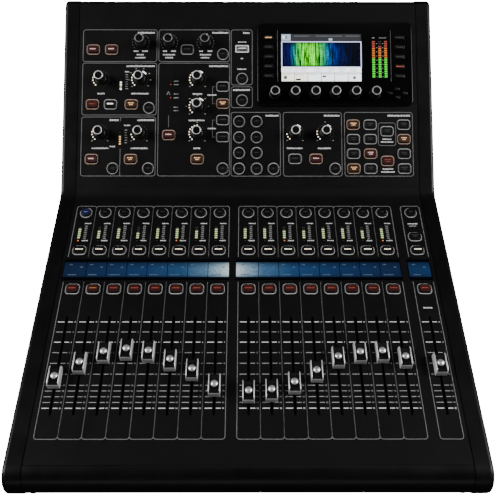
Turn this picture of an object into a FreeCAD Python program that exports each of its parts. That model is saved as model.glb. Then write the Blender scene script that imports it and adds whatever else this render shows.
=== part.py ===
import FreeCAD, Part
import Sketcher, PartDesign
import os
from math import sin, cos, tan, atan2, radians, degrees, sqrt, pi

# Compact digital mixing console: sixteen channel faders and one main fader.
# Row frame: +X right, +Y towards the rear, +Z up.  Origin at the bottom centre
# of the overall box, on the surface that the rubber feet stand on.  Millimetres.

os.makedirs("parts", exist_ok=True)
V = FreeCAD.Vector
Rot = FreeCAD.Rotation
Pla = FreeCAD.Placement
doc = FreeCAD.newDocument("MixingConsole")
sheet = doc.addObject("Spreadsheet::Sheet", "Dims")
D = {}


def dim(alias, value, note=""):
    n = len(D) + 1
    sheet.set("A%d" % n, note or alias)
    sheet.set("B%d" % n, repr(float(value)))
    sheet.setAlias("B%d" % n, alias)
    D[alias] = float(value)


# ------------------------------------------------------------------ driving dimensions
dim("body_width", 478, "overall width")
dim("cheek_width", 19.5, "width of each side cheek")
dim("seam_gap", 0.2, "gap between a cheek and the panels")
dim("fold_y", 53.74, "fold line between the two top planes, from the origin")
dim("fold_z", 67.9, "height of the fold line")
dim("lower_tilt", 3.0, "tilt of the fader panel, degrees")
dim("upper_tilt", 33.387, "tilt of the control panel, degrees")
dim("fold_radius", 30, "concave radius of the fold")
dim("nose_radius", 20, "radius of the armrest nose")
dim("nose_start", 343.4, "distance from fold to nose along the fader panel")
dim("rear_start", 249.0, "distance from fold to the rear bend along the control panel")
dim("rear_radius", 8, "radius of the bend into the rear panel")
dim("rear_y", 308.84, "rear bottom edge")
dim("base_z", 10, "height of the underside")
dim("sheet_thick", 2, "thickness of top and rear panels")
dim("pan_thick", 1.2, "thickness of the bottom pan")
dim("pan_lip", 12, "height of the bottom pan's lip")
dim("cheek_proud", 0.7, "how far the cheeks stand proud of the panels")
dim("cheek_edge", 5.0, "edge radius of the cheeks")
dim("cheek_wall", 3.2, "wall thickness of the hollow cheeks")
dim("strip_pitch", 23.756, "distance between channel strips")
dim("strip_count", 8, "strips in one bank")
dim("bank_one_x", -201.172, "centre of the first strip of bank one")
dim("bank_two_x", 0.508, "centre of the first strip of bank two")
dim("main_x", 202.65, "centre of the main strip")
dim("select_s", 31.5)
dim("select_dia", 12.4)
dim("solo_s", 88.5)
dim("solo_width", 13.8)
dim("solo_depth", 10.2)
dim("solo_round", 3.4)
dim("mute_s", 142.8)
dim("mute_width", 13.6)
dim("mute_depth", 10.8)
dim("mute_round", 2.8)
dim("clear_s", 68.5)
dim("key_rise", 2.8, "height of a key above its panel")
dim("key_drop", 5.0, "depth of a key below its panel surface")
dim("key_gap", 0.35, "gap around a key")
dim("slot_start", 178.5)
dim("slot_end", 293.0)
dim("slot_width", 2.4)
dim("fader_travel", 100)
dim("fader_top", 185.6, "lever centre at the top of its travel")
dim("lever_wide", 1.2)
dim("lever_long", 5.0)
dim("lever_drop", 12.0)
dim("cap_width", 12.4)
dim("cap_long", 23.0)
dim("cap_high", 11.0)
dim("cap_gap", 1.2, "gap under the fader cap")
dim("meter_x", -3.8)
dim("meter_from", 51.5)
dim("meter_to", 76.5)
dim("meter_width", 3.6)
dim("window_from", 101.5)
dim("window_to", 130.5)
dim("window_gap", 0.2)
dim("window_thick", 1.6)
dim("knob_dia", 13.4)
dim("knob_skirt_dia", 14.6)
dim("knob_high", 15.5)
dim("knob_gap", 1.0)
dim("shaft_dia", 6.0)
dim("shaft_drop", 9.0)
dim("shaft_hole_dia", 7.2)
dim("bush_dia", 6.1, "bore of an encoder body: 0.05 radial clearance on the shaft")
dim("square_width", 14.0)
dim("square_depth", 10.2)
dim("square_round", 2.6)
dim("round_dia", 12.4)
dim("bezel_rise", 3.4, "height of the display bezel above the control panel")
dim("bezel_left", 12.0)
dim("bezel_right", 213.0)
dim("bezel_low", 114.0)
dim("bezel_high", 225.0)
dim("bezel_round", 8.0)
dim("lcd_left", 42.6)
dim("lcd_right", 147.4)
dim("lcd_low", 145.2)
dim("lcd_high", 209.4)
dim("board_thick", 1.6)
dim("board_drop", 12.2, "depth of the control board's top below the panel surface")
dim("flange_width", 26)
dim("flange_high", 31)
dim("barrel_dia", 22)
dim("socket_pitch", 33)
dim("foot_dia", 20)
doc.recompute()
g = D  # short name for reading the sheet's numbers

half_in = g["body_width"] / 2 - g["cheek_width"]          # inner face of a cheek
half_panel = half_in - g["seam_gap"]
al, au = radians(g["lower_tilt"]), radians(g["upper_tilt"])
fy, fz = g["fold_y"], g["fold_z"]

PL_LOW = Pla(V(0, fy, fz), Rot(V(1, 0, 0), g["lower_tilt"]))
PL_UP = Pla(V(0, fy, fz), Rot(V(1, 0, 0), g["upper_tilt"]))


def low_pt(s, h=0.0):
    return (fy - s * cos(al) - h * sin(al), fz - s * sin(al) + h * cos(al))


def up_pt(t, h=0.0):
    return (fy + t * cos(au) - h * sin(au), fz + t * sin(au) + h * cos(au))


# rear panel line: tangent to the rear bend, through the rear bottom corner
def rear_line(grow=0.0):
    cy, cz = up_pt(g["rear_start"], -g["rear_radius"])
    r = g["rear_radius"] + grow
    py, pz = g["rear_y"] - 0.7 + grow, g["base_z"]
    dy, dz = py - cy, pz - cz
    d = sqrt(dy * dy + dz * dz)
    base = atan2(dz, dy)
    a = base + pi / 2 - atan2(r, sqrt(d * d - r * r)) * 1.0
    # tangent point direction from the centre
    n = base + (pi / 2 - atan2(r, sqrt(d * d - r * r)))
    return cy, cz, r, n, py, pz


cyr, czr, rr_, nr, pyr, pzr = rear_line(0.0)
lean = nr                                             # angle of the rear panel's normal above +Y
LEAN_DEG = degrees(lean)
_zc = V(0, cos(lean), sin(lean))
_yc = V(0, -sin(lean), cos(lean))
_m = FreeCAD.Matrix(-1, 0, 0, 0, 0, _yc.y, _zc.y, pyr, 0, _yc.z, _zc.z, pzr, 0, 0, 0, 1)
PL_REAR = Pla(_m)
rear_len = sqrt((cyr + rr_ * cos(nr) - pyr) ** 2 + (czr + rr_ * sin(nr) - pzr) ** 2)
print("rear panel: lean %.5f deg, length %.4f, foot of the panel y %.4f z %.4f" % (LEAN_DEG, rear_len, pyr, pzr))


# ------------------------------------------------------------------ helpers
def plane(body, role):
    return [f for f in body.Origin.OriginFeatures if f.Role == role][0]


def new_body(name, many=False):
    b = doc.addObject("PartDesign::Body", name)
    b.Label = name
    if many:
        b.AllowCompound = True
    return b


def sketch(body, name, role="XY_Plane", off=0.0, geo=None, bind=None):
    sk = body.newObject("Sketcher::SketchObject", name)
    sk.AttachmentSupport = [(plane(body, role), "")]
    sk.MapMode = "FlatFace"
    if off:
        sk.AttachmentOffset = Pla(V(0, 0, off), Rot())
    if bind:
        sk.setExpression("AttachmentOffset.Base.z", bind)
    if geo:
        sk.addGeometry(geo, False)
    return sk


def seg(a, b):
    return Part.LineSegment(V(a[0], a[1], 0), V(b[0], b[1], 0))


def arc(cx, cy, r, a0, a1):
    return Part.ArcOfCircle(Part.Circle(V(cx, cy, 0), V(0, 0, 1), r), a0, a1)


def poly(pts):
    return [seg(pts[i], pts[(i + 1) % len(pts)]) for i in range(len(pts))]


def rrect(cx, cy, w, d, r):
    x0, x1, y0, y1 = cx - w / 2, cx + w / 2, cy - d / 2, cy + d / 2
    return [seg((x0 + r, y0), (x1 - r, y0)), arc(x1 - r, y0 + r, r, -pi / 2, 0),
            seg((x1, y0 + r), (x1, y1 - r)), arc(x1 - r, y1 - r, r, 0, pi / 2),
            seg((x1 - r, y1), (x0 + r, y1)), arc(x0 + r, y1 - r, r, pi / 2, pi),
            seg((x0, y1 - r), (x0, y0 + r)), arc(x0 + r, y0 + r, r, pi, 1.5 * pi)]


def box4(x0, x1, y0, y1):
    return poly([(x0, y0), (x1, y0), (x1, y1), (x0, y1)])


def ring(cx, cy, r):
    return [Part.Circle(V(cx, cy, 0), V(0, 0, 1), r)]


C = Sketcher.Constraint


def add_circle(sk, x, y, r, ex, ey, er):
    """A circle whose centre and radius follow the sheet."""
    i = sk.addGeometry(Part.Circle(V(x, y, 0), V(0, 0, 1), r), False)
    a = sk.addConstraint(C("DistanceX", -1, 1, i, 3, x) if x >= 0 else C("DistanceX", i, 3, -1, 1, -x))
    sk.setExpression("Constraints[%d]" % a, ex if x >= 0 else "-(%s)" % ex)
    a = sk.addConstraint(C("DistanceY", -1, 1, i, 3, y) if y >= 0 else C("DistanceY", i, 3, -1, 1, -y))
    sk.setExpression("Constraints[%d]" % a, ey if y >= 0 else "-(%s)" % ey)
    a = sk.addConstraint(C("Radius", i, r))
    sk.setExpression("Constraints[%d]" % a, er)
    return i


def pad(body, sk, name, length, expr=None, sym=False, rev=False):
    p = body.newObject("PartDesign::Pad", name)
    p.Profile = sk
    p.Length = length
    if expr:
        p.setExpression("Length", expr)
    if sym:
        p.SideType = "Symmetric"
    if rev:
        p.Reversed = True
    sk.Visibility = False
    return p


def pocket(body, sk, name, length, expr=None, sym=False, rev=False):
    p = body.newObject("PartDesign::Pocket", name)
    p.Profile = sk
    p.Length = length
    if expr:
        p.setExpression("Length", expr)
    if sym:
        p.SideType = "Symmetric"
    if rev:
        p.Reversed = True
    sk.Visibility = False
    return p


def line_pattern(body, feats, name, count, pitch_expr, pitch, role="X_Axis"):
    lp = body.newObject("PartDesign::LinearPattern", name)
    lp.Originals = feats
    lp.Direction = (plane(body, role), [""])
    lp.Length = pitch * (count - 1)
    lp.Occurrences = count
    lp.setExpression("Length", "%s * %d" % (pitch_expr, count - 1))
    body.Tip = lp
    return lp


cuts = []          # (name, feature, volume before) for checking that every cut removes material


def checked_cut(body, feat):
    cuts.append((body.Label, feat))


nodes = []


def node(label, obj, placement=None):
    obj.Label = label
    if placement is not None:
        obj.Placement = placement
    nodes.append((label, obj))


def group(label, objs, placement=None):
    c = doc.addObject("Part::Compound", label)
    c.Links = objs
    c.Label = label
    if placement is not None:
        c.Placement = placement
    nodes.append((label, c))
    return c


# ------------------------------------------------------------------ overall side outline
def outline(grow=0.0, rear=True):
    """Closed side outline in (y, z): rear line, rear bend, control plane, concave
    fold, fader plane, nose, underside.  grow moves the top surfaces outwards."""
    cy, cz, r, n, py, pz = rear_line(grow)
    b = g["base_z"]
    e = []
    t0 = (py, pz)
    t1 = (cy + r * cos(n), cz + r * sin(n))
    e.append(seg(t0, t1))
    up_n = au + pi / 2
    e.append(arc(cy, cz, r, n, up_n))
    t2 = (cy + r * cos(up_n), cz + r * sin(up_n))
    fr = g["fold_radius"] - grow
    # centre of the concave fold, at height fold_radius above both planes
    T = g["fold_radius"] * tan((au - al) / 2)
    fc = low_pt(T, g["fold_radius"])
    a_low = al - pi / 2
    a_up = au - pi / 2
    u = (fc[0] + fr * cos(a_up), fc[1] + fr * sin(a_up))
    w = (fc[0] + fr * cos(a_low), fc[1] + fr * sin(a_low))
    e.append(seg(t2, u))
    e.append(arc(fc[0], fc[1], fr, a_low, a_up))
    nc = low_pt(g["nose_start"], -g["nose_radius"])
    nrad = g["nose_radius"] + grow
    a_top = al + pi / 2
    v = (nc[0] + nrad * cos(a_top), nc[1] + nrad * sin(a_top))
    e.append(seg(w, v))
    # nose round to the underside
    a_end = pi + (pi / 2 - 0.0) if abs((nc[1] - nrad) - b) < 0.02 else None
    if nc[1] - nrad < b:
        a_end = pi + (pi / 2 - atan2(sqrt(max(nrad ** 2 - (nc[1] - b) ** 2, 0.0)), nc[1] - b))
    else:
        a_end = 1.5 * pi
    e.append(arc(nc[0], nc[1], nrad, a_top, a_end))
    x = (nc[0] + nrad * cos(a_end), nc[1] + nrad * sin(a_end))
    if abs(x[1] - b) > 1e-6:
        e.append(seg(x, (x[0], b)))
        x = (x[0], b)
    e.append(seg(x, t0))
    return e, nc


# ------------------------------------------------------------------ side cheeks
def cheek(label, side):
    b = new_body(label)
    e, nc = outline(g["cheek_proud"])
    xin = side * half_in
    sk = sketch(b, label + "_side", "YZ_Plane", xin, e)
    p = pad(b, sk, label + "_pad", g["cheek_width"], "Dims.cheek_width", rev=(side < 0))
    doc.recompute()
    # hollow from the inner side
    cw = g["cheek_wall"]
    inner = []
    pts = [low_pt(g["nose_start"], -cw), low_pt(8.0, -cw), up_pt(8.0, -cw), up_pt(g["rear_start"] - 6, -cw - 1.5)]
    pts += [(pyr - 12.0, g["base_z"] + cw + 3), (nc[0] + 4, g["base_z"] + cw)]
    inner = poly(pts)
    sk2 = sketch(b, label + "_hollow_side", "YZ_Plane", xin, inner)
    k = pocket(b, sk2, label + "_hollow", g["cheek_width"] - cw, "Dims.cheek_width - Dims.cheek_wall", rev=(side > 0))
    doc.recompute()
    cuts.append((label, k, p.Shape.Volume))
    X = side * g["body_width"] / 2
    # rounded outer edges
    names = []
    for i, ed in enumerate(k.Shape.Edges):
        if len(ed.Vertexes) < 2:
            continue
        on = all(abs(v.Point.x - X) < 1e-4 for v in ed.Vertexes)
        mid = ed.valueAt((ed.FirstParameter + ed.LastParameter) / 2)
        bottom = all(abs(v.Point.z - g["base_z"]) < 1e-3 for v in ed.Vertexes)
        if on and abs(mid.x - X) < 1e-4 and not bottom and mid.z > 14.0:
            names.append("Edge%d" % (i + 1))
    fl = b.newObject("PartDesign::Fillet", label + "_edges")
    fl.Base = (k, names)
    fl.Radius = g["cheek_edge"]
    fl.setExpression("Radius", "Dims.cheek_edge")
    b.Tip = fl
    doc.recompute()
    if "Invalid" in fl.State or fl.Shape.isNull() or not fl.Shape.isValid():
        print("cheek fillet failed:", fl.State)
    node(label, b)
    return b


cheek_l = cheek("side_cheek_left", -1)
# the right cheek is the left one's mirror image
cheek_r = doc.addObject("Part::Mirroring", "side_cheek_right")
cheek_r.Source = cheek_l
cheek_r.Base = V(0, 0, 0)
cheek_r.Normal = V(1, 0, 0)
doc.recompute()
node("side_cheek_right", cheek_r)

# ------------------------------------------------------------------ strip positions
bank1 = [g["bank_one_x"] + i * g["strip_pitch"] for i in range(8)]
bank2 = [g["bank_two_x"] + i * g["strip_pitch"] for i in range(8)]
strips = bank1 + bank2 + [g["main_x"]]
kg = g["key_gap"]

# ------------------------------------------------------------------ fader panel (lower top plate)
fp = new_body("fader_panel")
T = g["fold_radius"] * tan((au - al) / 2)
th = g["sheet_thick"]
R0 = g["fold_radius"]
fa = au - al
# cross-section in the panel's own frame: flat part, then the concave fold
c0 = (-T, R0)
end_o = (c0[0] + R0 * sin(fa), c0[1] - R0 * cos(fa))
end_i = (c0[0] + (R0 + th) * sin(fa), c0[1] - (R0 + th) * cos(fa))
ystart = -(g["nose_start"] - 0.3)
geo = [seg((ystart, 0), (-T, 0)), arc(c0[0], c0[1], R0, -pi / 2, -pi / 2 + fa), seg(end_o, end_i),
       arc(c0[0], c0[1], R0 + th, -pi / 2, -pi / 2 + fa), seg((-T, -th), (ystart, -th)), seg((ystart, -th), (ystart, 0))]
sk = sketch(fp, "fader_panel_section", "YZ_Plane", 0, geo)
p = pad(fp, sk, "fader_panel_sheet", 2 * half_panel, "Dims.body_width - 2 * Dims.cheek_width - 2 * Dims.seam_gap", sym=True)
doc.recompute()


def strip_holes(name, x, ex, meter=True, clear=False):
    sk = sketch(fp, name, "XY_Plane", 0)
    add_circle(sk, x, -g["select_s"], g["select_dia"] / 2 + kg, ex, "-Dims.select_s", "Dims.select_dia / 2 + Dims.key_gap")
    geo = rrect(x, -g["solo_s"], g["solo_width"] + 2 * kg, g["solo_depth"] + 2 * kg, g["solo_round"] + kg)
    geo += rrect(x, -g["mute_s"], g["mute_width"] + 2 * kg, g["mute_depth"] + 2 * kg, g["mute_round"] + kg)
    sm = (g["slot_start"] + g["slot_end"]) / 2
    geo += rrect(x, -sm, g["slot_width"], g["slot_end"] - g["slot_start"], g["slot_width"] / 2 - 0.01)
    if meter:
        mm = (g["meter_from"] + g["meter_to"]) / 2
        geo += rrect(x + g["meter_x"], -mm, g["meter_width"] + 0.2, g["meter_to"] - g["meter_from"] + 0.2, 0.8)
    if clear:
        geo += rrect(x, -g["clear_s"], g["solo_width"] + 2 * kg, g["solo_depth"] + 2 * kg, g["solo_round"] + kg)
    sk.addGeometry(geo, False)
    return sk


prev = p
for nm, x, ex in (("bank_one_holes", bank1[0], "Dims.bank_one_x"), ("bank_two_holes", bank2[0], "Dims.bank_two_x")):
    sk = strip_holes(nm, x, ex)
    k = pocket(fp, sk, nm + "_cut", th + 1.0, "Dims.sheet_thick + 1")
    doc.recompute()
    cuts.append(("fader_panel", k, prev.Shape.Volume))
    lp = line_pattern(fp, [k], nm + "_row", 8, "Dims.strip_pitch", g["strip_pitch"])
    doc.recompute()
    cuts.append(("fader_panel", lp, k.Shape.Volume))
    prev = lp
sk = strip_holes("main_holes", g["main_x"], "Dims.main_x", meter=False, clear=True)
k = pocket(fp, sk, "main_holes_cut", th + 1.0, "Dims.sheet_thick + 1")
doc.recompute()
cuts.append(("fader_panel", k, prev.Shape.Volume))
wm = (g["window_from"] + g["window_to"]) / 2
wd = g["window_to"] - g["window_from"]
windows = [(-216.0, -21.5), (-14.6, 179.4), (187.5, 214.2)]
geo = []
for a, b_ in windows:
    geo += rrect((a + b_) / 2, -wm, b_ - a + 2 * g["window_gap"], wd + 2 * g["window_gap"], 1.2)
sk = sketch(fp, "window_holes", "XY_Plane", 0, geo)
k2 = pocket(fp, sk, "window_holes_cut", th + 1.0, "Dims.sheet_thick + 1")
doc.recompute()
cuts.append(("fader_panel", k2, k.Shape.Volume))
node("fader_panel", fp, PL_LOW)

# channel display windows, flush in the fader panel
cd = new_body("channel_displays", True)
geo = []
for a, b_ in windows:
    geo += rrect((a + b_) / 2, -wm, b_ - a, wd, 1.0)
sk = sketch(cd, "channel_displays_plan", "XY_Plane", -4.0, geo)
pad(cd, sk, "channel_displays_pad", 4.1, None)
node("channel_displays", cd, PL_LOW)


# ------------------------------------------------------------------ keys of the fader panel
def key_row(label, s_alias, kind, extra=None):
    b = new_body(label, True)
    total = g["key_rise"] + g["key_drop"]
    tip = None
    for tag, x, ex, n in (("one", bank1[0], "Dims.bank_one_x", 8), ("two", bank2[0], "Dims.bank_two_x", 8),
                          ("main", g["main_x"], "Dims.main_x", 1)):
        sk = sketch(b, "%s_%s" % (label, tag), "XY_Plane", -g["key_drop"], bind="-Dims.key_drop")
        s = g[s_alias]
        if kind == "select":
            add_circle(sk, x, -s, g["select_dia"] / 2, ex, "-Dims." + s_alias, "Dims.select_dia / 2")
        else:
            sk.addGeometry(rrect(x, -s, g[kind + "_width"], g[kind + "_depth"], g[kind + "_round"]), False)
            if tag == "main" and extra:
                sk.addGeometry(rrect(x, -g[extra], g[kind + "_width"], g[kind + "_depth"], g[kind + "_round"]), False)
        q = pad(b, sk, "%s_%s_pad" % (label, tag), total, "Dims.key_rise + Dims.key_drop")
        doc.recompute()
        if n > 1:
            line_pattern(b, [q], "%s_%s_row" % (label, tag), n, "Dims.strip_pitch", g["strip_pitch"])
            doc.recompute()
        else:
            b.Tip = q
    node(label, b, PL_LOW)


key_row("select_buttons", "select_s", "select")
key_row("solo_buttons", "solo_s", "solo", "clear_s")
key_row("mute_buttons", "mute_s", "mute")

# ------------------------------------------------------------------ faders and their tracks
fader_s = [253.4, 237.4, 225.2, 221.8, 224.2, 234.1, 245.1, 262.3,
           269.5, 268.1, 260.0, 246.9, 231.1, 225.8, 224.7, 231.2, 239.0]
for i, s in enumerate(fader_s):
    dim("fader_pos_%02d" % (i + 1), s, "lever centre from the fold, at rest")
doc.recompute()
for i, (x, s) in enumerate(zip(strips, fader_s)):
    label = "fader_main" if i == 16 else "fader_%02d" % (i + 1)
    b = new_body(label + "_cap")
    L, H, G0 = g["cap_long"] / 2, g["cap_high"], g["cap_gap"]
    # side profile: sloped ends, flat shoulders and a shallow finger dip
    prof = [(-L, G0), (L, G0), (L - 0.9, H - 4.2), (L - 2.4, H), (6.2, H), (3.9, H - 2.0), (-3.9, H - 2.0), (-6.2, H),
            (-L + 2.4, H), (-L + 0.9, H - 4.2)]
    sk = sketch(b, label + "_side", "YZ_Plane", 0, poly(prof))
    q = pad(b, sk, label + "_cap_pad", g["cap_width"], "Dims.cap_width", sym=True)
    doc.recompute()
    sk2 = sketch(b, label + "_socket", "XY_Plane", g["cap_gap"] - 0.5,
                 box4(-g["lever_wide"] / 2 - 0.05, g["lever_wide"] / 2 + 0.05, -g["lever_long"] / 2 - 0.05, g["lever_long"] / 2 + 0.05))
    k = pocket(b, sk2, label + "_socket_cut", 5.5, None, rev=True)
    doc.recompute()
    cuts.append((label, k, q.Shape.Volume))
    lev = doc.addObject("Part::Box", label + "_lever")
    lev.setExpression("Length", "Dims.lever_wide")
    lev.setExpression("Width", "Dims.lever_long")
    lev.setExpression("Height", "Dims.lever_drop + Dims.cap_gap + 4")
    lev.Placement = Pla(V(-g["lever_wide"] / 2, -g["lever_long"] / 2, -g["lever_drop"]), Rot())
    group(label, [b, lev], PL_LOW.multiply(Pla(V(x, -s, 0), Rot())))

fm = new_body("fader_mechanisms", True)
tw, tl, td, tz = 13.0, 140.0, 14.0, -4.2
sm = (g["slot_start"] + g["slot_end"]) / 2
for tag, x, n in (("one", bank1[0], 8), ("two", bank2[0], 8), ("main", g["main_x"], 1)):
    # track: a folded channel, open at the top, with the drive motor at its front end
    sk = sketch(fm, "tracks_" + tag, "XY_Plane", tz - td, box4(x - tw / 2, x + tw / 2, -sm - tl / 2, -sm + tl / 2))
    q = pad(fm, sk, "tracks_%s_pad" % tag, td)
    doc.recompute()
    sk2 = sketch(fm, "tracks_%s_inside" % tag, "XY_Plane", tz, box4(x - tw / 2 + 1, x + tw / 2 - 1, -sm - tl / 2 + 8, -sm + tl / 2 - 8))
    k = pocket(fm, sk2, "tracks_%s_cut" % tag, td - 1.2)
    doc.recompute()
    cuts.append(("fader_mechanisms", k, q.Shape.Volume))
    if n > 1:
        line_pattern(fm, [q, k], "tracks_%s_row" % tag, n, "Dims.strip_pitch", g["strip_pitch"])
        doc.recompute()
    else:
        fm.Tip = k
node("fader_mechanisms", fm, PL_LOW)

# ------------------------------------------------------------------ control panel (upper top plate)
squares = [(-200.5, 189.0), (-176.7, 189.0), (-78.5, 189.0),
           (-200.2, 116.2), (-177.0, 116.2), (-150.2, 116.2),
           (-200.0, 44.6), (-150.0, 44.6), (-101.6, 76.0), (-64.8, 44.6),
           (-32.3, 139.7), (-32.3, 117.3), (-32.3, 95.6), (-32.3, 73.4),
           (60.4, 45.0), (87.3, 45.0)]
squares += [(135.5, t) for t in (89.6, 70.6, 51.7, 32.3)]
squares += [(157.2, t) for t in (89.6, 70.6, 51.7, 32.3)]
squares += [(178.8, 81.0), (178.8, 42.3)]
squares += [(200.4, t) for t in (89.6, 70.6, 51.7, 32.3)]
rounds = [(-32.3, 182.9), (-127.4, 111.6), (-172.9, 32.5), (-127.6, 32.5), (-32.3, 32.5), (-7.4, 150.3), (-7.5, 121.7),
          (-11.2, 93.8), (11.2, 93.8), (-11.2, 73.0), (11.2, 73.0), (-11.2, 52.7), (11.2, 52.7), (-11.2, 32.3), (11.2, 32.3),
          (32.8, 32.3), (111.8, 32.3)]
knobs = [("knob_talk_level", -139.0, 198.7, "pot"), ("knob_monitor_level", -102.1, 198.7, "pot"), ("knob_phones_level", -55.1, 198.7, "pot"),
         ("knob_preamp_gain", -190.0, 150.0, "enc"), ("knob_low_cut", -139.7, 150.0, "enc"),
         ("knob_gate_threshold", -189.7, 78.5, "enc"), ("knob_dynamics_threshold", -139.5, 78.5, "enc"),
         ("knob_eq_width", -65.0, 150.0, "enc"), ("knob_eq_frequency", -65.0, 113.8, "enc"), ("knob_eq_gain", -65.0, 78.5, "enc"),
         ("knob_mono_level", 60.5, 79.0, "enc"), ("knob_pan", 99.4, 79.0, "enc")]
display_knobs = [("display_encoder_%d" % (i + 1), x, 128.7, "disp") for i, x in enumerate((34.7, 60.5, 86.3, 112.1, 137.6, 163.0))]
usb_x, usb_t, usb_w, usb_d = -7.4, 190.1, 14.4, 7.0

up = new_body("control_panel")
t_a = T + 0.1
rs = g["rear_start"]
rr0 = g["rear_radius"]
bend = (au + pi / 2) - nr                      # angle of the rear bend
ce = (rs, -rr0)
a_end = pi / 2 - bend
eo = (ce[0] + rr0 * cos(a_end), ce[1] + rr0 * sin(a_end))
ei = (ce[0] + (rr0 - th) * cos(a_end), ce[1] + (rr0 - th) * sin(a_end))
tang = (cos(a_end - pi / 2), sin(a_end - pi / 2))
fl_len = 5.0
fo = (eo[0] + tang[0] * fl_len, eo[1] + tang[1] * fl_len)
fi = (ei[0] + tang[0] * fl_len, ei[1] + tang[1] * fl_len)
geo = [seg((t_a, 0), (rs, 0)), arc(ce[0], ce[1], rr0, a_end, pi / 2), seg(eo, fo), seg(fo, fi), seg(fi, ei),
       arc(ce[0], ce[1], rr0 - th, a_end, pi / 2), seg((rs, -th), (t_a, -th)), seg((t_a, -th), (t_a, 0))]
sk = sketch(up, "control_panel_section", "YZ_Plane", 0, geo)
p = pad(up, sk, "control_panel_sheet", 2 * half_panel, "Dims.body_width - 2 * Dims.cheek_width - 2 * Dims.seam_gap", sym=True)
doc.recompute()
geo = []
for x, t in squares:
    geo += rrect(x, t, g["square_width"] + 2 * kg, g["square_depth"] + 2 * kg, g["square_round"] + kg)
for x, t in rounds:
    geo += ring(x, t, g["round_dia"] / 2 + kg)
for nme, x, t, kd in knobs:
    geo += ring(x, t, g["shaft_hole_dia"] / 2)
geo += rrect(usb_x, usb_t, usb_w + 0.4, usb_d + 0.4, 0.6)
small_meters = [(-164.0, 141.2, 3.4, 15.0), (-164.0, 72.5, 3.4, 20.0), (-111.0, 72.5, 3.4, 20.0)]
small_meters = small_meters[:2]
for x, t, w, d in small_meters:
    geo += rrect(x, t, w + 0.2, d + 0.2, 0.8)
# opening behind the display bezel
geo += rrect((g["bezel_left"] + g["bezel_right"]) / 2, (g["bezel_low"] + g["bezel_high"]) / 2,
             g["bezel_right"] - g["bezel_left"] - 12, g["bezel_high"] - g["bezel_low"] - 12, 3.0)
sk = sketch(up, "control_panel_holes", "XY_Plane", 0, geo)
k = pocket(up, sk, "control_panel_cut", th + 1.0, "Dims.sheet_thick + 1")
doc.recompute()
cuts.append(("control_panel", k, p.Shape.Volume))
node("control_panel", up, PL_UP)

pb = new_body("panel_buttons", True)
geo = []
for x, t in squares:
    geo += rrect(x, t, g["square_width"], g["square_depth"], g["square_round"])
for x, t in rounds:
    geo += ring(x, t, g["round_dia"] / 2)
sk = sketch(pb, "panel_buttons_plan", "XY_Plane", -g["key_drop"], geo, bind="-Dims.key_drop")
pad(pb, sk, "panel_buttons_pad", g["key_rise"] + g["key_drop"], "Dims.key_rise + Dims.key_drop")
doc.recompute()
node("panel_buttons", pb, PL_UP)


# ------------------------------------------------------------------ display unit
bz = new_body("display_bezel")
br = g["bezel_rise"]
bcx, bcy = (g["bezel_left"] + g["bezel_right"]) / 2, (g["bezel_low"] + g["bezel_high"]) / 2
bw, bh = g["bezel_right"] - g["bezel_left"], g["bezel_high"] - g["bezel_low"]
sk = sketch(bz, "bezel_plan", "XY_Plane", 0.05, rrect(bcx, bcy, bw, bh, g["bezel_round"]))
p = pad(bz, sk, "bezel_pad", br - 0.05, "Dims.bezel_rise - 0.05")
doc.recompute()
top = [("Edge%d" % (i + 1)) for i, e in enumerate(p.Shape.Edges) if all(abs(v.Point.z - br) < 1e-4 for v in e.Vertexes)]
fl = bz.newObject("PartDesign::Fillet", "bezel_edge")
fl.Base = (p, top)
fl.Radius = 1.6
doc.recompute()
dkeys = [(27.0, t) for t in (203.6, 190.8, 178.0, 165.1, 152.4)] + [(196.2, t) for t in (203.6, 190.8, 178.0, 165.1, 152.4)]
dk_w, dk_d = 12.6, 6.0
navs = [(192.0, 135.4), (182.4, 129.9), (201.8, 129.9), (192.0, 124.4)]
nv_w, nv_d = 7.2, 4.2
bars = [(162.6, 174.5), (170.7, 174.5), (178.3, 174.5)]
bar_w, bar_l = 4.2, 49.0
geo = rrect((g["lcd_left"] + g["lcd_right"]) / 2, (g["lcd_low"] + g["lcd_high"]) / 2,
            g["lcd_right"] - g["lcd_left"], g["lcd_high"] - g["lcd_low"], 1.0)
for x, t in dkeys:
    geo += rrect(x, t, dk_w + 0.5, dk_d + 0.5, 1.7)
for x, t in navs:
    geo += rrect(x, t, nv_w + 0.5, nv_d + 0.5, 1.7)
for x, t in bars:
    geo += rrect(x, t, bar_w + 0.2, bar_l + 0.2, 0.6)
for nme, x, t, kd in display_knobs:
    geo += ring(x, t, g["shaft_hole_dia"] / 2)
sk = sketch(bz, "bezel_holes", "XY_Plane", br, geo)
k = pocket(bz, sk, "bezel_cut", br + 1.0)
doc.recompute()
cuts.append(("display_bezel", k, fl.Shape.Volume))
node("display_bezel", bz, PL_UP)

ds = new_body("display_screen", True)
sk = sketch(ds, "screen_plan", "XY_Plane", -4.0, rrect((g["lcd_left"] + g["lcd_right"]) / 2, (g["lcd_low"] + g["lcd_high"]) / 2,
            g["lcd_right"] - g["lcd_left"] - 0.3, g["lcd_high"] - g["lcd_low"] - 0.3, 0.9))
pad(ds, sk, "screen_glass", 4.0 + br - 0.8)
doc.recompute()
sk = sketch(ds, "screen_module_plan", "XY_Plane", -9.0, rrect(95.0, 177.3, 112.0, 70.0, 2.0))
q = pad(ds, sk, "screen_module", 5.0)
doc.recompute()
node("display_screen", ds, PL_UP)

dkb = new_body("display_keys", True)
geo = []
for x, t in dkeys:
    geo += rrect(x, t, dk_w, dk_d, 1.5)
for x, t in navs:
    geo += rrect(x, t, nv_w, nv_d, 1.5)
sk = sketch(dkb, "display_keys_plan", "XY_Plane", -3.0, geo)
pad(dkb, sk, "display_keys_pad", 3.0 + br + 1.2)
doc.recompute()
node("display_keys", dkb, PL_UP)

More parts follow.
